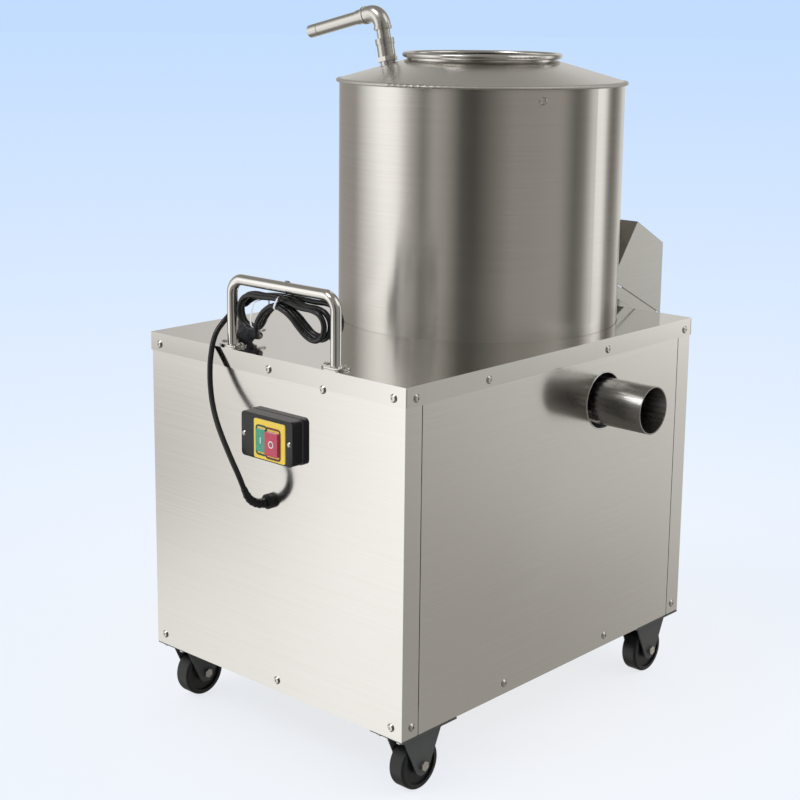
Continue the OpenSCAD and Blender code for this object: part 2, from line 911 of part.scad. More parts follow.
module bearing_housing() {
    color("slategray") difference() {
        about_drum() difference() {
            union() {
                rod(housing_r, housing_low, drum_low);
                rod(flange_r, drum_low - flange_t, drum_low);
                rod(spigot_r, drum_low - eps, drum_low + floor_t + spigot_h);
            }
            rod(bearing_r + seat_gap, housing_low - eps, drum_low - bearing_h);
            rod(shaft_r + 2, housing_low, drum_low + floor_t + spigot_h + eps);
            rod(seal_r + seat_gap, drum_low + floor_t + spigot_h - seal_h, drum_low + 100);
        }
        housing_bolt_places() rod(bolt_r + hole_gap, -flange_t - eps, eps);
    }
}

module shaft_bearings() {
    lower = housing_low + 4;
    upper = drum_low - bearing_h;
    spacer_in = bearing_r - 4;
    color("lightsteelblue") about_drum() {
        tube(bearing_r, shaft_r + run_gap, lower, lower + bearing_h);
        tube(bearing_r, shaft_r + run_gap, upper - bearing_h, upper);
        tube(bearing_r, spacer_in, lower + bearing_h + seat_gap, upper - bearing_h - seat_gap);
    }
}

module shaft_seal() {
    top = drum_low + floor_t + spigot_h;
    color("black") about_drum() tube(seal_r, shaft_r + run_gap, top - seal_h, top);
}

module main_shaft() {
    color("lightgray") about_drum() {
        rod(shaft_r, shaft_low, plate_low);
        rod(thread_r, shaft_low - 8, plate_low + disc_t + grit_t + 18);
        rod(collar_r, plate_low - hub_h - 8, plate_low - hub_h);
        rod(collar_r, hub_top + 1, housing_low + 3.7);
    }
}

module shaft_nuts() {
    top = plate_low + disc_t;
    color("silver") about_drum() {
        difference() {
            union() {
                hex_prism(30, top, top + 14);
                rod(13, top, top + 18);
            }
            rod(thread_r + seat_gap, top - eps, top + 18 + eps);
        }
        difference() {
            hex_prism(26, shaft_low - 8, shaft_low);
            rod(thread_r + seat_gap, shaft_low - 8 - eps, shaft_low + eps);
        }
    }
}

module peeling_disc() {
    color("lightgray") about_drum() difference() {
        union() {
            rod(disc_r, plate_low, plate_low + disc_t);
            rod(32, plate_low - hub_h, plate_low + eps);
        }
        rod(shaft_r + seat_gap, plate_low - hub_h - eps, plate_low);
        rod(thread_r + seat_gap, plate_low - eps, plate_low + disc_t + eps);
    }
}

// The grit layer on the disc, with three raised waves that tumble the potatoes
module disc_abrasive() {
    wave_w = 15;
    wave_h = 8;
    centre_r = 26;
    color("dimgray") about_drum() difference() {
        union() {
            rod(disc_r, plate_low + disc_t, disc_top);
            for (a = [30, 150, 270]) rotate([0, 0, a]) translate([centre_r - 4, 0, disc_top - eps])
                rotate([90, 0, 90]) linear_extrude(disc_r - 12 - centre_r)
                    polygon([[-wave_w, 0], [wave_w, 0], [wave_w / 3, wave_h], [-wave_w / 3, wave_h]]);
        }
        rod(centre_r, plate_low, disc_top + wave_h);
    }
}

// Two arms under the disc that push the peel to the drain
module peel_sweeper() {
    hub_r = 26;
    arm_h = 18;
    floor_top = drum_low + floor_t;
    color("silver") about_drum() difference() {
        union() {
            rod(hub_r, sweeper_low, sweeper_low + arm_h);
            box([-disc_r + 8, -3, sweeper_low], [disc_r - 8, 3, sweeper_low + arm_h]);
            for (side = [0, 1]) mirror([side, 0, 0])
                box([spigot_r + 8, -3, floor_top + 4], [disc_r - 8, 3, sweeper_low + eps]);
        }
        rod(shaft_r + seat_gap, sweeper_low - eps, sweeper_low + arm_h + eps);
    }
}

// ---- belt drive ----

module pulley_grooves(r) {
    for (f = belt_places) rotate_extrude()
        translate([r, pulley_low + f * pulley_h])
            polygon([[eps, -7], [eps, 7], [-groove_depth, 5], [-groove_depth, -5]]);
}

module large_pulley() {
    rim_t = groove_depth + 8;
    web = 12;
    color("slategray") about_drum() difference() {
        union() {
            tube(big_pulley_r, big_pulley_r - rim_t, pulley_low, pulley_top);
            rod(big_pulley_r - rim_t / 2, pulley_low + 14, pulley_low + 14 + web);
            rod(32, pulley_low, hub_top);
        }
        pulley_grooves(big_pulley_r);
        rod(shaft_r + seat_gap, shaft_low, hub_top + eps);
        for (a = [0 : 60 : 300]) rotate([0, 0, a]) translate([big_pulley_r * 0.55, 0, 0])
            rod(big_pulley_r * 0.18, pulley_low, pulley_top);
    }
}

module small_pulley() {
    color("slategray") about_motor() difference() {
        rod(small_pulley_r, pulley_low, pulley_top);
        pulley_grooves(small_pulley_r);
        rod(motor_shaft_r + seat_gap, pulley_low - eps, pulley_top + eps);
    }
}

module v_belts() {
    color("black") about_drum() for (f = belt_places)
        translate([0, 0, pulley_low + f * pulley_h]) rotate([0, 0, -90])
            linear_extrude(belt_w, center = true) difference() {
                link(big_pulley_r - belt_sunk, small_pulley_r - belt_sunk, belt_run);
                link(big_pulley_r - belt_sunk - belt_t, small_pulley_r - belt_sunk - belt_t, belt_run);
            }
}

// ---- motor ----

module motor_body() {
    bore = motor_shaft_r + run_gap;
    shield = 16;
    core_in = motor_r - 18;
    color("steelblue") difference() {
        about_motor() difference() {
            union() {
                rod(motor_r, motor_low, motor_top);
                rod(cowl_r - 2, motor_top - 15, motor_top);
                rod(cowl_r - 2, motor_low, motor_low + 12);
                for (a = [0 : 15 : 345]) rotate([0, 0, a])
                    box([motor_r - eps, -1.2, motor_low + 20], [fin_r, 1.2, motor_top - 20]);
                for (side = [-1, 1])
                    box([side * foot_x - 10, -plate_y, motor_low + 22],
                        [side * foot_x + 10, -plate_y + 46, motor_top - 22]);
            }
            rod(bore, motor_low - eps, motor_top + eps);
            rod(core_in, motor_low + shield, motor_top - shield);
        }
        motor_foot_bolts() rod(bolt_r + hole_gap, -plate_t - 16, eps);
    }
}

module motor_rotor() {
    color("lightgray") about_motor() {
        rod(motor_shaft_r, pulley_low, motor_top + 2);
        rod(thread_r, motor_top, motor_top + 26);
        rod(motor_r - 20, motor_low + 34, motor_top - 44);
    }
}

module motor_fan() {
    low = motor_top + 6;
    fan_r = cowl_r - 12;
    color("dimgray") about_motor() difference() {
        union() {
            rod(16, low, low + 16);
            rod(fan_r, low, low + 2);
            for (a = [0 : 45 : 315]) rotate([0, 0, a])
                box([12, -1, low], [fan_r - 2, 1, low + 20]);
        }
        rod(thread_r + seat_gap, low - eps, low + 21);
    }
}

module fan_cowl() {
    top = motor_top + cowl_h;
    color("steelblue") about_motor() difference() {
        rod(cowl_r, motor_top - 8, top);
        rod(cowl_r - 2 + seat_gap, motor_top - 8 - eps, top - 2);
        for (a = [0 : 30 : 330]) rotate([0, 0, a])
            box([18, -3, top - 3], [cowl_r - 14, 3, top + eps]);
    }
}

module terminal_box() {
    low = [motor_r + 2, -35, motor_low + 85];
    high = [motor_r + 54, 35, motor_low + 155];
    color("steelblue") difference() {
        about_motor() difference() {
            box(low, high);
            box(low + [3, 3, 3], high - [3, 3, 3]);
            translate([90, 0, high.z]) rod(cord_r + 0.5, -4, eps);
            box([0, -20, low.z + 15], [motor_r + 6, 20, high.z - 15]);
            difference() {
                rod(fin_r + move_gap, low.z - eps, high.z + eps);
                box([-fin_r, -fin_r, low.z - 2], [motor_r + 2, fin_r, high.z + 2]);
            }
        }
    }
}

module motor_plate() {
    low = motor_y - plate_y - plate_t;
    color("dimgray") difference() {
        box([-plate_x, low, motor_low - 10], [plate_x, low + plate_t, motor_top + 10]);
        motor_foot_bolts() rod(bolt_r + hole_gap, -plate_t - eps, eps);
        motor_plate_bolts() rod(bolt_r + hole_gap, -plate_t - eps, eps);
    }
}

module inner_cables() {
    color("black") {
        swept_cord(supply_route, [1, 0.2, 0]);
        swept_cord(motor_route, [0.5, -1, 0.9]);
    }
}

// ---- switch ----

module on_switch() {
    on_front(switch_x, switch_z) translate([0, 0, -sheet_t]) children();
}

module switch_base() {
    rim = 1;
    block = [62, 40];
    color("dimgray") difference() {
        on_switch() {
            difference() {
                linear_extrude(base_depth) round_rect([switch_w + 2 * rim, switch_h + 2 * rim], 7);
                translate([0, 0, wall_t]) linear_extrude(base_depth)
                    round_rect([switch_w - 2 * wall_t, switch_h - 2 * wall_t], 5);
            }
            for (side = [-1, 1]) translate([side * cover_screw_x, 0, 0]) rod(4.2, 0, base_depth);
            translate([0, 0, wall_t + 8.5]) cube([block.x, block.y, 18], center = true);
        }
        on_switch() translate([cable_hole_x, 0, 0]) rod(9, -eps, 9);
        on_switch() for (side = [-1, 1]) translate([side * cover_screw_x, 0, 0])
            rod(2, 0, base_depth + eps);
    }
}

module switch_cover() {
    inner = [switch_w - 2 * wall_t, switch_h - 2 * wall_t];
    color("dimgray") on_switch() difference() {
        union() {
            difference() {
                translate([0, 0, base_depth]) linear_extrude(cover_depth) round_rect([switch_w, switch_h], 6);
                translate([0, 0, base_depth - eps]) linear_extrude(cover_depth - wall_t + eps)
                    round_rect(inner, 4);
            }
            for (side = [-1, 1]) translate([side * cover_screw_x, 0, 0])
                rod(4.2, base_depth, switch_front - 1);
        }
        button_hole(start_place, start_size);
        button_hole(stop_place, stop_size);
        for (side = [-1, 1]) translate([side * cover_screw_x, 0, 0]) {
            rod(2, base_depth - eps, switch_front + eps);
        }
    }
}

module button_hole(place, size) {
    translate([place.x, place.y, switch_front - wall_t - eps]) linear_extrude(wall_t + yellow_t + 3 * eps)
        round_rect([size.x + 2 * move_gap, size.y + 2 * move_gap], 2 + move_gap);
}

module switch_plate() {
    color("gold") on_switch() difference() {
        translate([yellow_place.x, yellow_place.y, switch_front]) linear_extrude(yellow_t)
            round_rect(yellow_size, 3);
        button_hole(start_place, start_size);
        button_hole(stop_place, stop_size);
    }
}

// A push button: cap, retaining flange behind the cover and a short stem
module push_button(place, size, rise) {
    back = switch_front - wall_t - move_gap;
    on_switch() translate([place.x, place.y, 0]) {
        translate([0, 0, back - 2]) linear_extrude(switch_front + yellow_t + rise - back + 2)
            round_rect(size, 2);
        translate([0, 0, back - 1]) cube([size.x, size.y + 6, 2], center = true);
        rod(4, back - 3.5, back);
    }
}

module start_button() {
    color("mediumaquamarine") push_button(start_place, start_size, start_rise);
}

module stop_button() {
    color("crimson") push_button(stop_place, stop_size, stop_rise);
}

// ---- cord ----

module cable_gland() {
    inner_nut = 5;
    color("black") on_front(gland_x, gland_z) translate([0, 0, -sheet_t]) difference() {
        union() {
            rod(8, -sheet_t - inner_nut - 3, eps);
            rod(11, 0, 8);
            rod(8.5, 8, 11);
            hex_prism(13, 11, 14.5);
            hex_prism(20, -sheet_t - inner_nut, -sheet_t);
        }
        rod(cord_r + 0.3, -40, 40);
    }
}

module power_cord_lead() {
    color("black") swept_cord(lead_route, [1, 1, 0.3]);
}

module power_cord_hank() {
    d = hank_right - hank_left;
    color("black") translate([hank_left.x, hank_y, hank_left.y]) rotate([90, 0, 0])
        rotate([0, 0, atan2(d.y, d.x)]) linear_extrude(hank_w, center = true)
            link(hank_left_r, hank_right_r, norm(d));
}

// A moulded plug that lies on the cabinet's top beside the hank, with its pins towards +Y
module mains_plug() {
    body = [35, 33, 27];
    color("black") translate(plug_at) {
        rotate([0, -90, 0]) linear_extrude(body.x, center = true) round_rect([body.z, body.y], 5);
        rotate([0, 90, 0]) {
            rod(7, body.x / 2 - eps, body.x / 2 + 8);
            rod(5, body.x / 2, body.x / 2 + 18);
        }
        for (side = [-1, 1]) translate([side * 9.5, 0, 0]) rotate([-90, 0, 0])
            rod(2.4, body.y / 2 - eps, body.y / 2 + 19);
    }
}

module cord_ties() {
    color("gainsboro") {
        translate([hang_tie_x, 0, 0]) rotate([90, 0, 90]) linear_extrude(tie_w, center = true) difference() {
            hang_outline(tie_gap + tie_t);
            hang_outline(tie_gap);
        }
        translate([band_tie_x, 0, 0]) rotate([90, 0, 90]) linear_extrude(tie_w, center = true) difference() {
            band_outline(tie_gap + tie_t);
            band_outline(tie_gap);
        }
    }
}

// The hang tie goes round the handle's bar and the hank
module hang_outline(grow) {
    half = hank_w / 2 + grow;
    low = hang_tie_low + tie_gap - grow;
    hull() {
        translate([handle_y, z_top + handle_h]) circle(handle_r + grow, $fn = 32);
        translate([hank_y - half, low]) square([2 * half, hang_tie_high - low]);
    }
}

module band_outline(grow) {
    half_h = sqrt(pow(hank_left_r, 2) - pow(hank_left.x - band_tie_x, 2)) + 0.4 + grow;
    translate([hank_y, hank_left.y]) square([hank_w + 2 * grow, 2 * half_h], center = true);
}

// ---- water inlet ----

// Local Z is the tilted axis of the pipe, from the lid's surface
module on_inlet() {
    translate([inlet_x, inlet_y, inlet_z]) rotate([0, -inlet_tilt, 0]) children();
}

module inlet_boss() {
    color("silver") on_inlet() difference() {
        union() {
            rod(12, -10, 5);
            hex_prism(27, -10, -5.5);
            hex_prism(29, 4, 11);
            rod(14, 10, 40);
            rod(15.2, 31, 40);
        }
        rod(water_bore, -20, 50);
        rod(water_r + seat_gap, nipple_low, 50);
    }
}

module inlet_nipple() {
    color("silver") on_inlet() difference() {
        rod(water_r, nipple_low, inlet_rise - elbow_turn);
        rod(water_bore, nipple_low - eps, inlet_rise);
    }
}

// Quarter turn of a round bar, from below the elbow's middle to its -X side
module elbow_bend(r) {
    translate([-elbow_turn, 0, -elbow_turn]) rotate([90, 0, 0])
        rotate_extrude(angle = 90) translate([elbow_turn, 0]) circle(r);
}

module inlet_elbow() {
    bead = 1;
    bead_w = 4;
    color("silver") on_inlet() translate([0, 0, inlet_rise]) difference() {
        union() {
            elbow_bend(elbow_r);
            rod(elbow_r, -elbow_down, -elbow_turn);
            rod(elbow_r + bead, -elbow_down, -elbow_down + bead_w);
            rotate([0, -90, 0]) {
                rod(elbow_r, elbow_turn, elbow_out);
                rod(elbow_r + bead, elbow_out - bead_w, elbow_out);
            }
        }
        elbow_bend(water_bore);
        rod(water_r + seat_gap, -elbow_down - eps, -elbow_turn);
        rotate([0, -90, 0]) rod(water_r + seat_gap, elbow_turn, elbow_out + eps);
    }
}

module inlet_spout() {
    band = 20;
    nut_w = 14;
    color("silver") on_inlet() translate([0, 0, inlet_rise]) rotate([0, -90, 0]) difference() {
        union() {
            rod(water_r, elbow_turn, spout_len);
            rod(water_r + 1.2, elbow_out + 1, elbow_out + nut_w);
        }
        rod(water_bore, elbow_turn - eps, spout_len + eps);
        translate([0, 0, spout_len - band]) tube(water_r + eps, water_r - 0.6, -1.5, 0);
    }
}

// ---- discharge chute, gate and rails ----

// Turns an outline of (reach, height) into a plate across the machine, between x0 and x1
module chute_slab(x0, x1) {
    translate([x0, face_y, z_top]) rotate([90, 0, 90]) linear_extrude(x1 - x0) children();
}

module drum_clearance(r) {
    about_drum() rod(r, z_top - 60, z_top + 300);
}

hood_points = [
    [tip_u, tip_v], [ridge_u, ridge_v], [chute_out, outer_v], [chute_out, joint_v(chute_out)]
];

// Unit normal to the right of the way from a to b, and the mitred corner of a wall on that side
function right_of(a, b) = let (d = unit(b - a)) [d.y, -d.x];
function mitre(a, b, c, t) = let (m = right_of(a, b), n = right_of(b, c)) b + t * (m + n) / (1 + m * n);

module discharge_hood() {
    window_x = 97;
    window_v = 115;
    deep = 200;
    inner_x = chute_x - sheet_t;
    color("darkgray") difference() {
        chute_slab(-chute_x, chute_x) polygon(hood_points);
        chute_slab(-inner_x, inner_x) polygon([
            hood_points[0] + sheet_t * right_of(hood_points[0], hood_points[1]),
            mitre(hood_points[0], hood_points[1], hood_points[2], sheet_t),
            mitre(hood_points[1], hood_points[2], hood_points[3], sheet_t),
            [chute_out - sheet_t, -deep], [tip_u, -deep]
        ]);
        chute_slab(-window_x, window_x)
            translate([tip_u - drum_reach, -deep]) square([ridge_u - tip_u + drum_reach - 12, deep + window_v]);
        chute_slab(-inner_x, inner_x)
            translate([chute_out - drum_reach / 2, -deep]) square([drum_reach, deep + lip_v]);
        drum_clearance(rail_out + 0.6);
    }
}

module trough_outline(top_drop, low_drop) {
    start = tip_u - drum_reach;
    polygon([
        [start, joint_v(start) - top_drop], [chute_out, joint_v(chute_out) - top_drop],
        [chute_out, joint_v(chute_out) - low_drop], [start, joint_v(start) - low_drop]
    ]);
}

module discharge_trough() {
    inner_x = chute_x - sheet_t;
    clear = 0.3;
    color("darkgray") difference() {
        union() {
            chute_slab(-chute_x, -inner_x) trough_outline(joint_gap, trough_depth);
            chute_slab(inner_x, chute_x) trough_outline(joint_gap, trough_depth);
            chute_slab(-chute_x, chute_x) trough_outline(trough_depth - sheet_t, trough_depth);
            for (side = [0, 1]) mirror([side, 0, 0]) {
                chute_slab(inner_x - sheet_t, inner_x) intersection() {
                    trough_outline(-strap_w / 2, strap_w / 2);
                    translate([10, -100]) square([chute_out - 20, 300]);
                }
                chute_slab(gusset_x - sheet_t, gusset_x) gusset_outline();
                box([gusset_x - sheet_t, face_y - sheet_t, z_top + gusset_low],
                    [gusset_x + tab_w, face_y, z_top - cover_edge - 1]);
            }
        }
        drum_clearance(drum_r + clear);
        about_drum() for (m = [0, 1]) mirror([m, 0, 0])
            bent_plate(drum_r - eps, rail_out + 0.6, rail_lip - 1, rail_end + 1, gate_low - 10, z_top + 300);
        about_drum() bent_plate(drum_r - eps, gate_out + 1, -rail_end, rail_end, gate_low - 1, z_top + 300);
        gusset_screws() screw_hole();
    }
}

// The gusset under the trough, clear of the cover's turned-down edge
module gusset_outline() {
    reach = 85;
    floor_drop = trough_depth - sheet_t / 2;
    polygon([
        [0.5, joint_v(0.5) - floor_drop], [reach, joint_v(reach) - floor_drop],
        [0, gusset_low], [-sheet_t, gusset_low], [-sheet_t, -cover_edge - 1], [0.5, -cover_edge - 1]
    ]);
}

module discharge_gate() {
    top = gate_high + 15;
    grip_r = gate_out + 26;
    grip_turn = 12;
    color("silver") about_drum() difference() {
        rotate([0, 0, 90 - gate_turn]) rotate_extrude(angle = 2 * gate_turn) polygon([
            [gate_in, gate_low], [gate_out, gate_low], [gate_out, top - sheet_t],
            [grip_r, top - sheet_t], [grip_r, top], [gate_in, top]
        ]);
        for (m = [0, 1]) mirror([m, 0, 0])
            bent_plate(gate_in - 1, grip_r + 1, grip_turn, gate_turn + 1, gate_high, top + 1);
    }
}

module gate_rails() {
    low = gate_low - 2;
    high = gate_low + gate_travel + (gate_high - gate_low) + 5;
    nut_out = rail_out + 6;
    stop_h = 1.7;
    color("silver") about_drum() difference() {
        union() {
            for (m = [0, 1]) mirror([m, 0, 0]) difference() {
                bent_plate(drum_r, rail_out, rail_lip, rail_end, low, high);
                bent_plate(drum_r - eps, rail_out - sheet_t, rail_lip - 1, rail_turn, low + stop_h, high + eps);
            }
            on_knob() rod(6, rail_out - sheet_t + 0.2, nut_out);
        }
        on_knob() rod(3 + run_gap, drum_r, nut_out + eps);
    }
}

// Local Z points outwards along the clamp screw
module on_knob() {
    rotate([0, 0, 90 + knob_turn]) translate([0, 0, knob_z]) rotate([0, 90, 0]) children();
}

module gate_knob() {
    tip = gate_out + move_gap;
    head = rail_out + 8;
    color("black") about_drum() on_knob() {
        rod(3, tip, head + eps);
        rod(11, head, head + 12);
        for (a = [0 : 60 : 300]) rotate([0, 0, a]) translate([9.5, 0, 0]) rod(3, head, head + 12);
    }
}

placed() lower_frame();
placed() middle_frame();
placed() upper_frame();
placed() corner_posts();
placed() front_panel();
placed() rear_panel();
placed() drain_side_panel();
placed() plain_side_panel();
placed() top_cover();
placed() machine_screws();
placed() hex_bolts();
placed() push_handle();
placed() caster_forks();
placed() caster_axles();
placed() front_right_wheel();
placed() front_left_wheel();
placed() rear_right_wheel();
placed() rear_left_wheel();
placed() drum_shell();
placed() chamber_floor();
placed() drum_liner();
placed() feed_cover();
placed() drain_pipe();
placed() bearing_housing();
placed() shaft_bearings();
placed() shaft_seal();
placed() main_shaft();
placed() peeling_disc();
placed() disc_abrasive();
placed() shaft_nuts();
placed() peel_sweeper();
placed() large_pulley();
placed() v_belts();
placed() motor_body();
placed() motor_rotor();
placed() motor_fan();
placed() fan_cowl();
placed() terminal_box();
placed() motor_plate();
placed() small_pulley();
placed() inner_cables();
placed() switch_base();
placed() switch_cover();
placed() switch_plate();
placed() start_button();
placed() stop_button();
placed() cable_gland();
placed() power_cord_lead();
placed() power_cord_hank();
placed() mains_plug();
placed() cord_ties();
placed() inlet_boss();
placed() inlet_nipple();
placed() inlet_elbow();
placed() inlet_spout();
placed() discharge_trough();
placed() discharge_hood();
placed() discharge_gate();
placed() gate_rails();
placed() gate_knob();
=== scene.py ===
# %% [markdown]
# # A floor-standing electric potato peeler
# The machine is a stainless steel drum on a sheet metal cabinet with four casters. Its
# construction is already packed as a fixed frame, so this script only adds what the eye sees: the
# finish of each surface, the mains cord with its plug and ties, the small parts of the switch, the
# light and the camera. The whole file works in metres. Places are given in millimetres from the
# middle of the cabinet and the floor, as a sheet metal worker would measure them, and one function
# turns them into the frame's own metres.

# %% Load the frame
import math

import bmesh
import bpy
from mathutils import Matrix, Vector


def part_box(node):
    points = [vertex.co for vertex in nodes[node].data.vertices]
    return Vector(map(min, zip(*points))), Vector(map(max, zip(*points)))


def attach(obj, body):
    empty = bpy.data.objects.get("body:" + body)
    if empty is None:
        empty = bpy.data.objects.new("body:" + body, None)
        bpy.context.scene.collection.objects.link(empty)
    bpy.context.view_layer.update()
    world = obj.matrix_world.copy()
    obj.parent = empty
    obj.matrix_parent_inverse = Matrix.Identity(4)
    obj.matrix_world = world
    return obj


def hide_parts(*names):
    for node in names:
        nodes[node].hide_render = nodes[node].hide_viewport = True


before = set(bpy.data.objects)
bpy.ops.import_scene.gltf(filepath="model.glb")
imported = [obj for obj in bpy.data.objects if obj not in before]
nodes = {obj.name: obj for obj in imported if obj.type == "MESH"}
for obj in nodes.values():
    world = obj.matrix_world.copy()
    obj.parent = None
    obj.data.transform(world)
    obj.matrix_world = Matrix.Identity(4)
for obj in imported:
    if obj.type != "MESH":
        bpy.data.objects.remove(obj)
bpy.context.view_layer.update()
MM = 0.001

front_low, front_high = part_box("front_panel")
rear_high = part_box("rear_panel")[1]
middle_x = (front_low[0] + front_high[0]) / 2
middle_y = (front_low[1] + rear_high[1]) / 2


def at(x, y, z):
    """A place in millimetres from the cabinet's middle and the floor, as a point of the frame."""
    return Vector((middle_x + x * MM, middle_y + y * MM, z * MM))


print("nodes", len(nodes), "cabinet middle", round(middle_x, 4), round(middle_y, 4))

# %% [markdown]
# ## The camera
# A machine is best seen from a little above, so that the top of the cabinet shows, and from the
# corner between the switch and the drain. A long lens keeps the uprights parallel. The camera
# could be aimed with a constraint, but its matrix is written from its direction instead, because
# then the small roll of the tripod is a plain number too.

# %% Camera
camera_turn = math.radians(42.271)
camera_rise = math.radians(11.120)
camera_roll = math.radians(0.639)
camera_place = at(1620.2, -1852.1, 1084.8)

back = Vector((
    math.sin(camera_turn) * math.cos(camera_rise),
    -math.cos(camera_turn) * math.cos(camera_rise),
    math.sin(camera_rise),
))
level = Vector((0, 0, 1)).cross(back).normalized()
up = back.cross(level)
right = level * math.cos(camera_roll) + up * math.sin(camera_roll)
up = up * math.cos(camera_roll) - level * math.sin(camera_roll)

lens = bpy.data.cameras.new("camera")
lens.sensor_width = 36
lens.lens = 71.8
# The camera looks at the drum, and the frame of the picture is shifted down to the casters
lens.shift_y = -0.1
lens.clip_end = 200
camera = bpy.data.objects.new("camera", lens)
bpy.context.collection.objects.link(camera)
turned = Matrix((right, up, back)).transposed()
camera.matrix_world = Matrix.Translation(camera_place) @ turned.to_4x4()
bpy.context.scene.camera = camera
print("camera at", [round(c, 3) for c in camera.location])

# %% [markdown]
# ## The mains cord
# The cord is round three-core flex, 8 mm thick. It leaves the gland below the switch, rises past
# the switch, crosses the front edge and is then wound into a short hank that hangs under the push
# handle. Its end leaves the hank at the lower left and runs back to the plug, which lies on the
# cabinet. A curve with a round bevel is the natural way to make it: the curve is the cord's own
# centreline, so its length can be read off. The free stretch is a list of points along the
# cabinet. The hank is wound by a loop: each turn has an upper run, a right end, a lower run that
# the tie pulls up in its middle, and a left end, and lies one cord further forward than the turn
# before.

# %% Cord route
cord_d = 8
lead_route = [
    (1, -358, 384), (1, -366, 385), (0, -374, 388), (-1, -381, 393),
    (-3, -386, 401), (-6, -389, 411), (-11, -390, 421), (-19, -390, 433),
    (-30, -389, 446), (-43, -387, 461), (-58, -384, 478), (-73, -380, 496),
    (-86, -375, 514), (-96, -370, 532), (-107, -362, 562), (-114, -353, 586),
    (-118, -345, 602), (-119, -337, 615), (-118, -328, 625), (-114, -320, 635),
    (-108, -314, 645), (-99, -311, 652), (-92, -311, 655), (-86.2, -311, 656),
    (-74, -311, 664), (-58, -311, 671),
]
hank_y = -311
upper_runs = [
    [(-34, 676), (-6, 678.5), (25, 679), (58, 678.5)],
    [(-32, 677), (-4, 678.5), (22, 677), (46, 672.5)],
    [(-32, 675.5), (-6, 677), (18, 675.5), (40, 671)],
]
# Middle in x and z, radius and angle of entry of each turn's right end
right_ends = [(87, 655.5, 23, 82), (76, 649.5, 21, 76), (72, 648, 20.5, 74)]
left_ends = [(-59, 651, 25), (-57, 650.5, 24)]
# Angles in degrees, from 0 to the right: a right end goes over the top, and a left end comes back
right_exit = -95
left_entry, left_exit = -58, -265
# Share of the lower run, with x and z
low_run = [
    (0.2, 60, 633), (0.36, 45, 643.5), (0.5, 31, 655), (0.64, 14, 664.5),
    (0.76, -2, 668), (0.88, -18, 661.5), (0.96, -32, 648),
]
plug_tail = [
    (58, -328.6, 632.5), (44, -330, 643.5), (31, -331, 655), (14, -332.5, 664.5),
    (-2, -333.5, 667.5), (-17, -334.5, 660.5), (-30, -334, 648), (-40, -331, 635),
    (-48, -324, 622.5), (-56, -314, 613.5), (-66, -303, 609.5), (-76, -295.5, 608.7),
]


def bend(centre_x, centre_z, radius, start, end, y, steps=7):
    """Points round one end of the hank, between two angles in degrees."""
    angles = [math.radians(start + (end - start) * i / (steps - 1)) for i in range(steps)]
    return [
        (centre_x + radius * math.cos(a), y, centre_z + radius * math.sin(a)) for a in angles
    ]


route = list(lead_route)
for turn, (upper, (end_x, end_z, end_r, entry)) in enumerate(zip(upper_runs, right_ends)):
    y = hank_y - cord_d * turn
    route += [(x, y, z) for x, z in upper]
    route += bend(end_x, end_z, end_r, entry, right_exit, y)
    if turn < len(left_ends):
        route += [(x, y - cord_d * share, z) for share, x, z in low_run]
        route += bend(*left_ends[turn], left_entry, left_exit, y - cord_d)
route += plug_tail
print("cord route of", len(route), "points")

# %% [markdown]
# ## From route to cord
# The points become one Bezier spline with automatic handles, which passes through every point and
# stays smooth between them. Polylines would show corners, and a spline that only comes near its
# points would cut the bends.

# %% Cord curve
def smooth_curve(name, points, radius):
    """One open Bezier spline through the points, with a round section."""
    curve = bpy.data.curves.new(name, "CURVE")
    curve.dimensions = "3D"
    # The tube is bevel depth times the knots' own radius, which the curve's bounding box also uses
    curve.bevel_depth = 1
    curve.bevel_resolution = 6
    curve.resolution_u = 8
    curve.use_fill_caps = True
    spline = curve.splines.new("BEZIER")
    spline.bezier_points.add(len(points) - 1)
    for knot, point in zip(spline.bezier_points, points):
        knot.co = point
        knot.radius = radius
        knot.handle_left_type = knot.handle_right_type = "AUTO"
    made = bpy.data.objects.new(name, curve)
    bpy.context.collection.objects.link(made)
    return made


cord = smooth_curve("mains_cord", [at(*p) for p in route], cord_d / 2 * MM)
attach(cord, "machine")
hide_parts("power_cord_lead", "power_cord_hank")
print("cord spline of", len(cord.data.splines[0].bezier_points), "knots")

# %% [markdown]
# ## Swept skins
# The cord's sleeve, its plug and its ties are all skins swept round a line: a ring of points is
# set round each place on the line and joined to the next. A curve with a bevel can't change its
# section on the way, and a swept mesh can go from a round sleeve to the rounded block of a plug.
# Each section has a half width, a half thickness and how square its corners are.

# %% Sweep along a line
def link_mesh(name, mesh_builder, body):
    """Turns a bmesh into a piece that rides on a body."""
    mesh = bpy.data.meshes.new(name)
    bmesh.ops.recalc_face_normals(mesh_builder, faces=mesh_builder.faces)
    mesh_builder.to_mesh(mesh)
    mesh_builder.free()
    made = bpy.data.objects.new(name, mesh)
    bpy.context.collection.objects.link(made)
    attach(made, body)
    return made


def squared(value, corner):
    """A sine or cosine pushed outwards: corner 1 leaves a circle, and less makes it squarer."""
    return math.copysign(abs(value) ** corner, value)


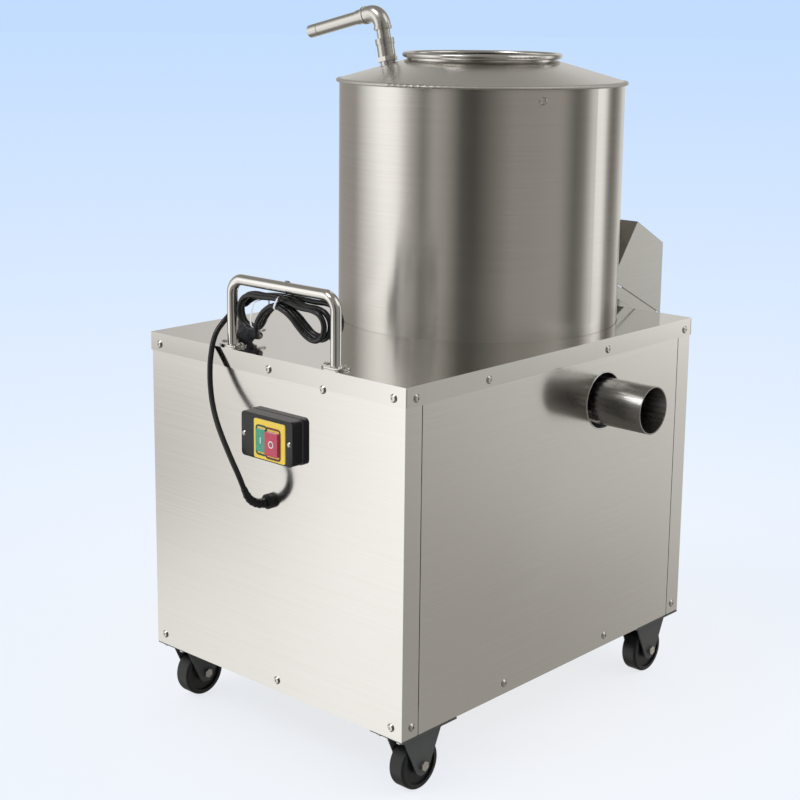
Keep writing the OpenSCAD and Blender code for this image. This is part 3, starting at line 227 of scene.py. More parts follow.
def swept(name, line, sections, closed=False, sides=20, side_way=None):
    """A skin round a line. Each section is (half width, half thickness, corner)."""
    built = bmesh.new()
    rings = []
    last = len(line) - 1
    across = side_way
    for i, (point, (half_w, half_t, corner)) in enumerate(zip(line, sections)):
        ahead = line[(i + 1) % len(line)] if closed or i < last else point
        behind = line[i - 1] if closed or i > 0 else point
        along = (ahead - behind).normalized()
        if side_way is None:
            seed = across if across is not None else along.orthogonal()
            across = (seed - along * seed.dot(along)).normalized()
        over = along.cross(across).normalized()
        ring = []
        for k in range(sides):
            a = 2 * math.pi * (k + 0.5) / sides
            out_w = squared(math.cos(a), corner) * half_w
            out_t = squared(math.sin(a), corner) * half_t
            ring.append(built.verts.new(point + across * out_w + over * out_t))
        rings.append(ring)
    joins = len(rings) if closed else last
    for i in range(joins):
        one, two = rings[i], rings[(i + 1) % len(rings)]
        for k in range(sides):
            built.faces.new((one[k], one[(k + 1) % sides], two[(k + 1) % sides], two[k]))
    if not closed:
        built.faces.new(rings[0])
        built.faces.new(rings[-1])
    for face in built.faces:
        face.smooth = len(face.verts) == 4
    return link_mesh(name, built, "machine")


sideways = Vector((1, 0, 0))
forwards = Vector((0, -1, 0))
round_corner = 1.0
print("a squarer corner of 45 degrees reaches", round(squared(math.cos(math.pi / 4), 0.5), 3))

# %% [markdown]
# ## The sleeve at the gland
# Where the cord leaves the gland it wears a tapered rubber sleeve that keeps it from kinking, with
# ridges round it so that it bends evenly. It follows the first points of the cord.

# %% Strain relief sleeve
def along_route(points, spacing):
    """Points a fixed spacing apart along straight lines through the given ones."""
    out = [points[0]]
    for a, b in zip(points, points[1:]):
        steps = max(1, round((b - a).length / spacing))
        out += [a.lerp(b, (i + 1) / steps) for i in range(steps)]
    return out


def sleeve_sections(count, thick, thin, ridge):
    """Round sections from thick to thin, with a ridge on two of every four."""
    found = []
    for i in range(count):
        share = i / (count - 1)
        raised = ridge if i % 4 in (1, 2) and share < 0.85 else 0
        half = (thick + (thin - thick) * share + raised) * MM
        found.append((half, half, round_corner))
    return found


relief_line = along_route([at(*p) for p in lead_route[:6]], 1.6 * MM)
# The sleeve starts inside the nose of the gland
relief_line.insert(0, at(1, -355.5, 384))
cord_relief = swept("cord_strain_relief", relief_line,
                    sleeve_sections(len(relief_line), 7.0, 4.6, 0.6))
print("sleeve of", len(relief_line), "rings")

# %% [markdown]
# ## The plug
# The plug is moulded PVC: a block with soft corners, a waist with grip ridges, and a ribbed sleeve
# where the cord goes in. It lies on the cabinet's top with its two nickel pins to the rear. It is
# swept along the cord's own direction, from the closed end to the sleeve's tip.

# %% Moulded plug
plug_y, plug_z = -294.5, 608.7
block_corner = 0.42
pin_middle, pin_apart = -109, 9.5
# Place along X, half width and half height
plug_ends = [
    (-126.5, 14.0, 11.0), (-125.6, 15.4, 12.4), (-123.5, 16.3, 13.2), (-108, 16.5, 13.5),
    (-104, 16.3, 13.3), (-103, 15.6, 12.6), (-101.5, 15.6, 12.6), (-100.5, 16.2, 13.2),
    (-99, 16.2, 13.2), (-98, 15.4, 12.4), (-96.5, 15.4, 12.4), (-95.5, 15.9, 12.9),
    (-93.5, 15.4, 12.4), (-92, 13.6, 11.0), (-90.8, 10.0, 9.0),
]
plug_line = [at(x, plug_y, plug_z) for x, *_ in plug_ends]
plug_rings = [(w * MM, t * MM, block_corner) for _, w, t in plug_ends]
tip_line = along_route([at(-90, plug_y, plug_z), at(-72, plug_y, plug_z)], 1.3 * MM)
plug_line += tip_line
plug_rings += sleeve_sections(len(tip_line), 7.4, 5.0, 0.5)
plug = swept("moulded_plug", plug_line, plug_rings, sides=36)

pins = []
for side, word in ((-1, "left"), (1, "right")):
    pin_x = pin_middle + side * pin_apart
    pin_line = [at(pin_x, plug_y + reach, plug_z) for reach in (15, 33.5, 35, 35.6)]
    pin_rings = [(r * MM, r * MM, round_corner) for r in (2.4, 2.4, 1.9, 0.8)]
    pins.append(swept("plug_pin_" + word, pin_line, pin_rings, sides=16))
print("plug rings", len(plug_line), "pins", len(pins))

# %% [markdown]
# ## The ties
# Two white straps hold the hank: one pulls the upper and lower runs together just under the
# handle's bar, and one binds the left end, where the cord goes on to the plug. Their white is
# painted highlight: it stands for the bright lines along the ties. A black strap goes over the bar
# and down behind it, and hooks the first one to it. Straps are thin and flat, so their sections
# are wide ellipses, and a few corner points are rounded by cutting corners three times.

# %% Straps
strap_half_t = 0.7


def rounded_line(points, closed):
    """Cuts every corner three times, which turns a few points into a soft line."""
    line = [Vector(p) for p in points]
    for _ in range(3):
        pairs = list(zip(line, line[1:] + line[:1] if closed else line[1:]))
        cut = [p for a, b in pairs for p in (a.lerp(b, 0.25), a.lerp(b, 0.75))]
        line = cut if closed else [line[0]] + cut + [line[-1]]
    return line


def strap(name, x, lean, outline, half_w, closed=True):
    """A flat strap: outline is a list of (y, z), and lean moves x with height."""
    low = min(z for y, z in outline)
    line = rounded_line([at(x + lean * (z - low), y, z) for y, z in outline], closed)
    section = (half_w * MM, strap_half_t * MM, round_corner)
    return swept(name, line, [section] * len(line),
                 closed=closed, sides=10, side_way=sideways)


# The white given to these straps is painted highlight, standing for bright lines along the ties
hang_tie = strap("hang_tie", 0.5, 0.57, [
    (-305.8, 668), (-305.8, 680), (-311, 684.8), (-331, 685), (-338.6, 681),
    (-338.8, 668), (-334, 661.8), (-312, 662),
], 2.0)
band_tie = strap("band_tie", -47, 0.2, [
    (-306, 650), (-306, 666), (-312, 670.5), (-332, 670.5), (-339, 666),
    (-339, 640), (-334, 629), (-312, 629), (-306, 636),
], 1.7)
bar_hook = strap("bar_hook", 15, 0.0, [
    (-325.5, 704.2), (-322, 704), (-318.5, 702), (-315.4, 697), (-316.2, 689.5),
    (-322, 686), (-333, 685.6), (-339.4, 682), (-339.8, 676),
], 2.3, closed=False)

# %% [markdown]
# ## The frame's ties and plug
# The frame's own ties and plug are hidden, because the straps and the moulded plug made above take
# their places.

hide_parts("cord_ties")
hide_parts("mains_plug")

# %% [markdown]
# ## Details of the switch
# The switch plate has a rim round each button, dark teal round the green one and maroon round the
# red one. The rims' dark colour is painted shade: it stands for the shade in the recess that each
# button sits in. The buttons carry the plain marks for on and off, whose white is print and
# painted glare on the caps together. A rim is a strip swept round a rectangle with soft corners,
# an "I" is a short strip and an "O" is a ring. They are placed from the boxes of the buttons, so
# they stay right if a button is moved.

# %% Rims and marks
def face_of(node):
    """Middle in X and Z, half width, half height and front Y of a part's box, in metres."""
    low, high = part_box(node)
    middle = (low + high) / 2
    return middle[0], middle[2], high[0] - middle[0], high[2] - middle[2], low[1]


def soft_rectangle(x, z, half_x, half_z, y, corner, steps=6):
    """Points round a rectangle with round corners, facing the front."""
    out = []
    for turn, (sx, sz) in enumerate(((1, 1), (-1, 1), (-1, -1), (1, -1))):
        for i in range(steps):
            a = math.radians(90 * (turn + i / (steps - 1)))
            out.append(Vector((
                x + sx * (half_x - corner) + corner * math.cos(a), y,
                z + sz * (half_z - corner) + corner * math.sin(a))))
    return out


plate_front = face_of("switch_plate")[4]
rim_gap = 1.7 * MM
rim_corner = 4 * MM
mark_half = 4.5 * MM
mark_round = 40
switch_bits = {}
for key, word in (("start", "start_green"), ("stop", "stop_red")):
    x, z, half_x, half_z, front = face_of(key + "_button")
    rim_line = soft_rectangle(x, z, half_x + rim_gap, half_z + rim_gap, plate_front, rim_corner)
    switch_bits[key + "_rim"] = swept(
        key + "_rim", rim_line, [(0.9 * MM, 1.3 * MM, 0.7)] * len(rim_line),
        closed=True, sides=12, side_way=forwards)
    if key == "start":
        mark_line = [Vector((x, front, z + mark_half * k)) for k in (-1, -0.96, 0.96, 1)]
        mark_rings = [(w * MM, 0.2 * MM, round_corner) for w in (0.5, 0.9, 0.9, 0.5)]
        mark = swept("start_mark", mark_line, mark_rings, sides=12,
                     side_way=sideways)
    else:
        angles = [2 * math.pi * k / mark_round for k in range(mark_round)]
        mark_line = [
            Vector((x + mark_half * math.cos(a), front, z + mark_half * math.sin(a)))
            for a in angles
        ]
        mark_rings = [(0.25 * MM, 0.8 * MM, round_corner)] * mark_round
        mark = swept("stop_mark", mark_line, mark_rings,
                     closed=True, sides=10, side_way=forwards)
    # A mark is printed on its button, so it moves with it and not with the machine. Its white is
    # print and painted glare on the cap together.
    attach(mark, key + "_key")
    switch_bits[key + "_mark"] = mark
print("switch details", sorted(switch_bits))

# %% [markdown]
# ## Rim of the drain hole
# The hole round the drain pipe has a folded edge, which keeps the sheet from cutting a hose and
# catches a bright line of light. It is one more ring swept round a circle, and it is placed from
# the drain panel and the pipe.

# %% Drain hole rim
hole_r = 44 * MM
rim_points = 72
panel_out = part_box("drain_side_panel")[1][0]
pipe_low, pipe_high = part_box("drain_pipe")
pipe_y, pipe_z = [(pipe_low[i] + pipe_high[i]) / 2 for i in (1, 2)]
hole_line = []
for k in range(rim_points):
    a = 2 * math.pi * k / rim_points
    hole_line.append(Vector((
        panel_out, pipe_y + hole_r * math.cos(a), pipe_z + hole_r * math.sin(a))))
hole_rim = swept("drain_hole_rim", hole_line, [(0.9 * MM, 1.1 * MM, round_corner)] * rim_points,
                 closed=True, sides=12, side_way=sideways)
print("rim at", round(pipe_y / MM, 2), round(pipe_z / MM, 2))

# %% [markdown]
# ## Helpers for finishes
# A finish starts from the Principled shader, which every renderer and exporter understands. Values
# that are the same all over the surface are set on the shader's own sockets. What changes from
# place to place, such as the lines of a brushed sheet, comes from a few texture nodes. One helper
# turns a hex colour into the linear values that light needs, one adds a node, one starts a
# material, and one lets a socket follow a texture between two values.

# %% Finish helpers
def colour(code):
    """An sRGB hex colour as linear red, green, blue and alpha."""
    parts = [int(code[i:i + 2], 16) / 255 for i in (1, 3, 5)]
    return tuple(c / 12.92 if c <= 0.04045 else ((c + 0.055) / 1.055) ** 2.4 for c in parts) + (1,)


def add(tree, kind, inputs=None, **settings):
    """One shader node: settings are its own choices, inputs are values or other nodes' outputs."""
    made = tree.nodes.new("ShaderNode" + kind)
    for name, value in settings.items():
        setattr(made, name, value)
    for name, value in (inputs or {}).items():
        if isinstance(value, bpy.types.NodeSocket):
            tree.links.new(value, made.inputs[name])
        else:
            made.inputs[name].default_value = value
    return made


def finish(name, **sockets):
    """A new material and its Principled shader, with the shader's sockets set."""
    material = bpy.data.materials.new(name)
    material.use_nodes = True
    shader = material.node_tree.nodes["Principled BSDF"]
    for socket, value in sockets.items():
        shader.inputs[socket.replace("_", " ")].default_value = value
    return material, material.node_tree, shader


def vary(tree, shader, factor, socket, low, high):
    """Runs a socket of the shader between two values or colours as the factor goes 0 to 1."""
    if isinstance(low, tuple):
        ramp = add(tree, "ValToRGB", {"Fac": factor})
        ramp.color_ramp.elements[0].color = low
        ramp.color_ramp.elements[1].color = high
        tree.links.new(ramp.outputs["Color"], shader.inputs[socket])
    else:
        spread = add(tree, "MapRange", {"Value": factor, "To Min": low, "To Max": high})
        tree.links.new(spread.outputs["Result"], shader.inputs[socket])


print("steel grey", [round(c, 3) for c in colour("#D9D6D0")[:3]])


# %% [markdown]
# ## Brushed stainless steel
# The cabinet and the drum are AISI 304 sheet with a brushed finish: an abrasive belt has drawn
# fine lines along the sheet. The lines are too fine to see singly, but they blur a reflection
# across their own direction and leave it sharp along it, which gives the long soft bands of light
# that say "brushed steel". Anisotropy makes that blur, and a noise that is stretched along the
# brushing makes the faint streaks. The real lines are about 0.1 mm apart, and here they are drawn
# about 2 mm apart, because finer ones would vanish in the render.

# %% Brushed sheet
def brushed(name, pale, dark, rough, spread, lines, scratch=0.03):
    """Brushed steel. lines is the noise's scale along X, Y and Z, in lines a metre."""
    # A quarter turn from the tangent round Z makes the blur run up and down
    material, tree, shader = finish(
        name, Metallic=1.0, Roughness=rough, Anisotropic=spread, Anisotropic_Rotation=0.25)
    place = add(tree, "TexCoord").outputs["Object"]
    drawn = add(tree, "Mapping", {"Vector": place, "Scale": lines})
    streaks = add(tree, "TexNoise", {
        "Vector": drawn.outputs["Vector"], "Scale": 1.0, "Detail": 3.0, "Roughness": 0.6})
    clouds = add(tree, "TexNoise", {"Vector": place, "Scale": 3.5, "Detail": 1.5})
    both = add(tree, "Math", {
        0: streaks.outputs["Fac"], 1: clouds.outputs["Fac"]}, operation="ADD")
    factor = add(tree, "MapRange", {
        "Value": both.outputs["Value"], "From Min": 0.75, "From Max": 1.25})
    vary(tree, shader, factor.outputs["Result"], "Base Color", colour(dark), colour(pale))
    vary(tree, shader, streaks.outputs["Fac"], "Roughness", rough * 0.88, rough * 1.12)
    bump = add(tree, "Bump", {
        "Height": streaks.outputs["Fac"], "Strength": scratch, "Distance": 0.0002})
    tree.links.new(bump.outputs["Normal"], shader.inputs["Normal"])
    around = add(tree, "Tangent", direction_type="RADIAL", axis="Z")
    tree.links.new(around.outputs["Tangent"], shader.inputs["Tangent"])
    return material


# Belt brushed sheet, with lines level round the cabinet: calm, pale faces
cabinet_steel = brushed("brushed_304_sheet", "#E0DEDA", "#DCDAD5", 0.16, 0.65, (4, 4, 480),
                        0.015)
# Rolled into a drum after brushing: coarser lines, and reflections stretch into upright bands
drum_steel = brushed("brushed_304_rolled", "#DEDBD6", "#D6D3CD", 0.24, 0.85, (5, 5, 520))
# The top is brushed from side to side, and is the most polished sheet: it mirrors the drum
top_steel = brushed("brushed_304_top", "#DBD9D5", "#D8D5D1", 0.09, 0.0, (4, 480, 4))
# The chute's sheet is darker and duller than the cabinet's: its darker colour is painted shade,
# for the chute stands in shadow behind the drum
chute_steel = brushed("brushed_304_chute_painted_shade", "#B7B6B1", "#B0AFA9", 0.22, 0.6, (4, 4, 300))
print("brushed sheets", cabinet_steel.name, drum_steel.name, top_steel.name)

# %% [markdown]
# ## Other steels
# The drain pipe, the gate and the floor of the drum keep the dull mill finish of hot rolled and
# pickled stainless: no lines, only soft clouds. The push handle is drawn tube, polished bright,
# and the water fittings are cast stainless with a slightly grainy, tumbled skin. The screws are
# bright zinc. All of them are metals, so only colour, roughness and grain change.

# %% Plain steels
def plain_metal(name, pale, dark, rough, grain_mm, bump_strength=0.1, metallic=1.0):
    """A metal with a cloudy skin: grain_mm is how far apart its clouds are."""
    material, tree, shader = finish(name, Metallic=metallic, Roughness=rough)
    place = add(tree, "TexCoord").outputs["Object"]
    grain = add(tree, "TexNoise", {
        "Vector": place, "Scale": 1 / (grain_mm * MM), "Detail": 3.0})
    vary(tree, shader, grain.outputs["Fac"], "Base Color", colour(dark), colour(pale))
    vary(tree, shader, grain.outputs["Fac"], "Roughness", rough * 0.7, rough * 1.35)
    bump = add(tree, "Bump", {
        "Height": grain.outputs["Fac"], "Strength": bump_strength, "Distance": 0.0003})
    tree.links.new(bump.outputs["Normal"], shader.inputs["Normal"])
    return material


# Rolled and pickled: an even dull grey without lines
mill_steel = plain_metal("mill_finish_304", "#C9C6C0", "#B4B1AB", 0.32, 18)
# Darker grey than the brushed sheet, so the pipe looks like gun metal beside it
pipe_steel = plain_metal("pickled_tube", "#A3A29F", "#999895", 0.28, 22, 0.03)
# Spun over a former: smooth, with reflections that run clean round the cone
lid_steel = plain_metal("spun_304_lid", "#DBD9D5", "#D5D2CE", 0.22, 60, 0.0)
# The lid's rim is rolled over a wire and scuffed, so it is duller than the spun cone above it
lid_tree = lid_steel.node_tree
lid_height = add(lid_tree, "SeparateXYZ", {
    "Vector": add(lid_tree, "TexCoord").outputs["Object"]}).outputs["Z"]
rim_top = 974 * MM
lid_rough = add(lid_tree, "MapRange", {
    "Value": lid_height, "From Min": rim_top - 0.4 * MM, "From Max": rim_top + 0.4 * MM,
    "To Min": 0.5, "To Max": 0.22})
lid_tree.links.new(
    lid_rough.outputs["Result"], lid_tree.nodes["Principled BSDF"].inputs["Roughness"])
# Drawn and polished: crisp light and dark lines along the bar
bright_tube = plain_metal("polished_tube", "#E6E4E0", "#DAD8D4", 0.13, 30, 0.03)
# Cast and tumbled fittings: a soft, slightly uneven shine
cast_stainless = plain_metal("tumbled_cast_304", "#DAD8D3", "#CBC8C3", 0.27, 4, 0.08)
# Electroplated screws: small bright glints
zinc = plain_metal("bright_zinc", "#DEDCD6", "#CBC8C2", 0.2, 3, 0.04)
# Ground shaft and bearings: a fine, even grey shine
ground_steel = plain_metal("ground_steel", "#C4C2BE", "#ABA9A5", 0.2, 6)
print("plain steels", mill_steel.name, bright_tube.name)

# %% [markdown]
# ## Castings, paint and abrasive
# Inside, the pulleys and the bearing housing are grey cast iron with a sandy skin, the disc is
# cast aluminium, the frame is angle steel under grey primer, and the motor wears blue-grey enamel.
# The disc and the drum's lining are coated with silicon carbide grit: hard dark grains a couple of
# millimetres apart that glitter a little. A Voronoi pattern gives one cell for each grain.

# %% Castings and paint
def coated(name, pale, dark, rough, grain_mm, bump_strength=0.2, coat=0.0):
    """A paint or plastic with a fine skin texture."""
    material, tree, shader = finish(name, Roughness=rough, Coat_Weight=coat, IOR=1.5)
    place = add(tree, "TexCoord").outputs["Object"]
    grain = add(tree, "TexNoise", {
        "Vector": place, "Scale": 1 / (grain_mm * MM), "Detail": 2.0})
    vary(tree, shader, grain.outputs["Fac"], "Base Color", colour(dark), colour(pale))
    vary(tree, shader, grain.outputs["Fac"], "Roughness", rough * 0.85, rough * 1.15)
    bump = add(tree, "Bump", {
        "Height": grain.outputs["Fac"], "Strength": bump_strength, "Distance": 0.0002})
    tree.links.new(bump.outputs["Normal"], shader.inputs["Normal"])
    return material


def grit(name, grain, gap, rough, size_mm):
    """Grains bonded to a surface: a lighter top on each Voronoi cell and dark gaps between."""
    material, tree, shader = finish(name, Roughness=rough, IOR=1.6)
    place = add(tree, "TexCoord").outputs["Object"]
    cells = add(tree, "TexVoronoi", {"Vector": place, "Scale": 1 / (size_mm * MM)})
    vary(tree, shader, cells.outputs["Distance"], "Base Color", colour(grain), colour(gap))
    bump = add(tree, "Bump", {
        "Height": cells.outputs["Distance"], "Strength": 0.8, "Distance": 0.0008}, invert=True)
    tree.links.new(bump.outputs["Normal"], shader.inputs["Normal"])
    return material


# Poured in sand: a rough dark skin that hardly shines
cast_iron = plain_metal("sand_cast_iron", "#6A6A6C", "#4B4B4E", 0.5, 2.5, 0.5, metallic=0.6)
# The same in aluminium: pale, with small pits
cast_aluminium = plain_metal("sand_cast_aluminium", "#B9BABB", "#9D9EA0", 0.38, 3, 0.4)
# Sprayed primer: flat and chalky
primer = coated("grey_primer", "#7B7D7F", "#6C6E70", 0.55, 5)
# Enamel over a casting: a soft gloss
enamel = coated("blue_grey_enamel", "#4F6476", "#465A6B", 0.32, 6, coat=0.2)
# Grit glued to the metal: dark, with pale grain tops
carbide = grit("silicon_carbide_grit", "#5C5A58", "#23221F", 0.55, 2.4)
print("castings and paint", cast_iron.name, primer.name, carbide.name)

# %% [markdown]
# ## Rubber and plastics
# The cord has a PVC jacket with a soft shine, the wheels are black rubber with a satin tread, and
# the caster forks are pressed steel under dark grey powder paint. The switch is moulded in black
# ABS with a fine spark-eroded texture, its plate is yellow polycarbonate with a smooth face, and
# the push buttons are glossy and slightly translucent, so they look lit where light enters them.

# %% Rubber and plastics
# Extruded jacket: smooth black with a narrow highlight along the cord
jacket = coated("pvc_jacket", "#151618", "#0E0F10", 0.3, 3, 0.05)
# Moulded in one shot: duller and greyer than the jacket
plug_pvc = coated("moulded_pvc", "#46474A", "#3C3D40", 0.5, 1.2, 0.12)
# Vulcanised wheels: deep black with a satin band round the tread
tread = coated("black_rubber", "#1A1B1D", "#121314", 0.4, 2.5, 0.2)
# Cut and moulded seals: matt black
seal_rubber = coated("nitrile_rubber", "#1C1D1E", "#131415", 0.5, 2, 0.1)
# Baked powder: a fine orange peel that breaks up the shine
fork_paint = coated("powder_paint", "#4C4E4B", "#3E403D", 0.45, 1.1, 0.3)
# Moulded in a spark-eroded tool: a fine grain that greys the black
abs_black = coated("textured_abs", "#1B1C1E", "#151618", 0.36, 1.0, 0.25)
# Pressed phenolic: hard and glossy
knob_plastic = coated("phenolic_plastic", "#1D1D1F", "#151517", 0.25, 3, 0.05)
# Extruded skin of the frame's ties: milky white. Moulded nylon for the straps and marks: its white
# is painted highlight on the straps, and print with painted glare on the buttons' marks
tie_skin = coated("pvc_tie_skin", "#CFCDC8", "#BDBBB6", 0.45, 2, 0.1)
nylon = coated("nylon_white_painted_highlight", "#F1F0EC", "#E4E2DC", 0.4, 2, 0.05)
# Rims darker than the buttons: their colour is painted shade, the shade of the recess round each
# button
teal_rim = coated("teal_painted_recess_shade", "#23514A", "#1D453F", 0.35, 2, 0.05)
maroon_rim = coated("maroon_painted_recess_shade", "#6E2430", "#5E1D28", 0.35, 2, 0.05)
# Moulded with a smooth face: warm yellow with a soft sheen
yellow_plate = coated("yellow_polycarbonate", "#FBDA55", "#F4CD3F", 0.33, 4, 0.04)


def translucent(name, shade, deep, rough):
    """A moulded button: light goes a short way in and comes out again."""
    material, tree, shader = finish(
        name, Roughness=rough, IOR=1.5, Coat_Weight=0.5, Coat_Roughness=0.08,
        Subsurface_Weight=0.15, Subsurface_Scale=0.002)
    place = add(tree, "TexCoord").outputs["Object"]
    clouds = add(tree, "TexNoise", {"Vector": place, "Scale": 160.0, "Detail": 1.0})
    vary(tree, shader, clouds.outputs["Fac"], "Base Color", colour(deep), colour(shade))
    return material


# Polished acrylic caps: deep colour with a clear highlight
green_button = translucent("green_acrylic", "#43AD8A", "#2A8A6D", 0.22)
red_button = translucent("red_acrylic", "#CE3E59", "#AC2C45", 0.22)
print("plastics", jacket.name, abs_black.name, yellow_plate.name)

# %% [markdown]
# ## Giving each part its finish
# Every part of the frame is listed once beside its finish, and a part that is left out is printed.
# The pieces made above follow, and the last step hides the switch from the steel round it.

# %% Dress the parts
finishes = {
    cabinet_steel: ["front_panel", "rear_panel", "drain_side_panel", "plain_side_panel"],
    top_steel: ["top_cover"],
    drum_steel: ["drum_shell"],
    # The chute's darker steel is painted shade
    chute_steel: ["discharge_trough", "discharge_hood"],
    lid_steel: ["feed_cover"],
    mill_steel: ["chamber_floor", "discharge_gate", "gate_rails", "peel_sweeper"],
    pipe_steel: ["drain_pipe"],
    bright_tube: ["push_handle"],
    cast_stainless: ["inlet_boss", "inlet_nipple", "inlet_elbow", "inlet_spout"],
    zinc: ["machine_screws", "hex_bolts", "caster_axles", "shaft_nuts"],
    ground_steel: ["shaft_bearings", "main_shaft", "motor_rotor"],
    cast_iron: ["bearing_housing", "large_pulley", "small_pulley"],
    cast_aluminium: ["peeling_disc"],
    carbide: ["disc_abrasive", "drum_liner"],
    primer: ["lower_frame", "middle_frame", "upper_frame", "corner_posts", "motor_plate"],
    enamel: ["motor_body", "fan_cowl", "terminal_box"],
    fork_paint: ["caster_forks"],
    tread: ["front_right_wheel", "front_left_wheel", "rear_right_wheel", "rear_left_wheel"],
    seal_rubber: ["shaft_seal", "v_belts", "inner_cables", "cable_gland"],
    knob_plastic: ["motor_fan", "gate_knob"],
    abs_black: ["switch_base", "switch_cover"],
    yellow_plate: ["switch_plate"],
    green_button: ["start_button"],
    red_button: ["stop_button"],
    jacket: ["power_cord_lead", "power_cord_hank"],
    plug_pvc: ["mains_plug"],
    tie_skin: ["cord_ties"],
}


def dress(piece, material):
    """Puts the material in every slot of a piece."""
    if not piece.data.materials:
        piece.data.materials.append(None)
    for i in range(len(piece.data.materials)):
        piece.data.materials[i] = material


for material, names in finishes.items():
    for name in names:
        dress(nodes[name], material)
undressed = set(nodes) - {name for names in finishes.values() for name in names}
print("parts without a finish:", sorted(undressed))
extra = {
    jacket: [cord, cord_relief, bar_hook],
    plug_pvc: [plug],
    zinc: pins,
    # White on the straps is painted highlight, and on the marks it is print and painted glare
    nylon: [hang_tie, band_tie, switch_bits["start_mark"], switch_bits["stop_mark"]],
    # The rims' dark teal and maroon are painted shade
    teal_rim: [switch_bits["start_rim"]],
    maroon_rim: [switch_bits["stop_rim"]],
    bright_tube: [hole_rim],
}
for material, pieces in extra.items():
    for piece in pieces:
        dress(piece, material)
# The sheets mirror the studio, but not the switch and the screws, which keeps them calm
hidden_from_steel = [
    "switch_base", "switch_cover", "switch_plate", "start_button", "stop_button",
    "machine_screws",
]
for name in hidden_from_steel:
    nodes[name].visible_glossy = False
for piece in switch_bits.values():
    piece.visible_glossy = False

# %% [markdown]
# ## Rounding the edges
# The frame's meshes are exact, with knife-sharp edges, and real edges never are: a folded sheet
# has a small radius and a sawn one is deburred. That thin rounded strip catches a line of light.
# Bevel modifiers add it without touching the meshes: weld the split corners, merge the flat faces,
# round what is sharper than 30 degrees and let the new faces carry the shading. The radius is what
# a bending tool or a mould leaves: half a millimetre on folded sheet, more on castings and
# plastic. Thin round parts such as screws keep their own shape.

# %% Round the edges
edge_radius = {
    "top_cover": 0.7, "front_panel": 0.6, "rear_panel": 0.6, "drain_side_panel": 0.5,
    "plain_side_panel": 0.5, "discharge_hood": 0.6, "discharge_trough": 0.6, "drain_pipe": 0.5,
    "switch_base": 1.6, "switch_cover": 1.6, "switch_plate": 0.5, "start_button": 1.1,
    "stop_button": 1.1, "caster_forks": 0.6, "hex_bolts": 0.4,
    "cable_gland": 0.7, "gate_knob": 1.0, "discharge_gate": 0.4, "gate_rails": 0.4,
    "push_handle": 0.6, "terminal_box": 2.0, "peeling_disc": 1.0, "bearing_housing": 1.0,
    "caster_axles": 0.4,
}


def round_edges(piece, radius, segments=2):
    """A stack of modifiers that rounds the sharp edges of a piece."""
    weld = piece.modifiers.new("weld", "WELD")
    weld.merge_threshold = 0.00001
    flat = piece.modifiers.new("flat", "DECIMATE")
    flat.decimate_type = "DISSOLVE"
    flat.angle_limit = math.radians(1)
    bevel = piece.modifiers.new("edge", "BEVEL")
    bevel.width = radius
    bevel.segments = segments
    bevel.limit_method = "ANGLE"
    bevel.angle_limit = math.radians(30)
    bevel.harden_normals = True
    return bevel


for name, radius in edge_radius.items():
    round_edges(nodes[name], radius * MM)
print("rounded", len(edge_radius), "parts")

# %% [markdown]
# ## The light
# Brushed steel shows its surroundings more than its own colour, so the studio matters as much as
# the finish. A real one has bright softboxes, darker flags beside them and a pale floor. The world
# stands for it, and its brightness depends only on the direction. Three rings of softboxes and
# flags lie one above the other: the low one is what the foot of the upright panels mirrors, the
# next is for their upper half, and the middle one draws the bands on the drum and on the top.
# Straight up is an even ceiling for the lid, and straight down is the shade below the machine.
# Matt surfaces get one even pale light. Lamps with a size would do as well, but they would light
# the near side more than the far one.

# %% Studio rings
def grey(level, gain=1.35):
    """A studio brightness from 0 to 255, as the steel is to show it: dim light is a bit warm."""
    value = (level / 255) ** 2.2 * gain
    cool = min(1, max(0, (level - 130) / 95))
    return (value, value * (0.955 + 0.04 * cool), value * (0.88 + 0.105 * cool), 1)


# Compass in degrees, from 0 before the switch panel to 90 before the drain panel, and brightness.
# A tall softbox stands left of the camera, with a flag on its right. Behind the camera is a dark
# corner, then a grey wall with one more flag, and far right a narrow softbox.
rear_left = [(-180, 130), (-166, 190), (-134, 190), (-120, 140), (-80, 140)]
flags = [
    (-20, 170), (-7, 90), (3, 150), (14, 130), (25, 65), (35, 60), (45, 90), (65, 130),
    (107, 135), (121, 80), (131, 110),
]
middle_ring = rear_left + [(-60, 225), (-48, 255), (-30, 240)] + flags + [
    (149, 245), (156, 230), (163, 125), (170, 90), (180, 130),
]
# The panels see the edges of the same softboxes, further down
panel_ring = rear_left + [(-58, 155), (-50, 180), (-41, 260), (-30, 240)] + flags + [
    (137, 160), (156, 200), (166, 130), (180, 130),
]
low_ring = rear_left + [(-58, 215), (-42, 240), (-30, 240)] + flags + [
    (136, 150), (142, 140), (156, 170), (166, 130), (180, 130),
]


def ring_of_light(tree, turn, levels):
    """A colour ramp round the compass."""
    ramp = add(tree, "ValToRGB", {"Fac": turn})
    stops = ramp.color_ramp.elements
    stops[0].position, stops[0].color = 0, grey(levels[0][1])
    stops[1].position, stops[1].color = 1, grey(levels[-1][1])
    for degrees, level in levels[1:-1]:
        stops.new((degrees + 180) / 360).color = grey(level)
    return ramp.outputs["Color"]


def blend(tree, value, start, end, under, over):
    """Goes from one colour to another while the value goes from start to end."""
    share = add(tree, "MapRange", {"Value": value, "From Min": start, "From Max": end},
                interpolation_type="SMOOTHSTEP")
    mixed = add(tree, "MixRGB", {"Fac": share.outputs["Result"], "Color1": under, "Color2": over})
    return mixed.outputs["Color"]


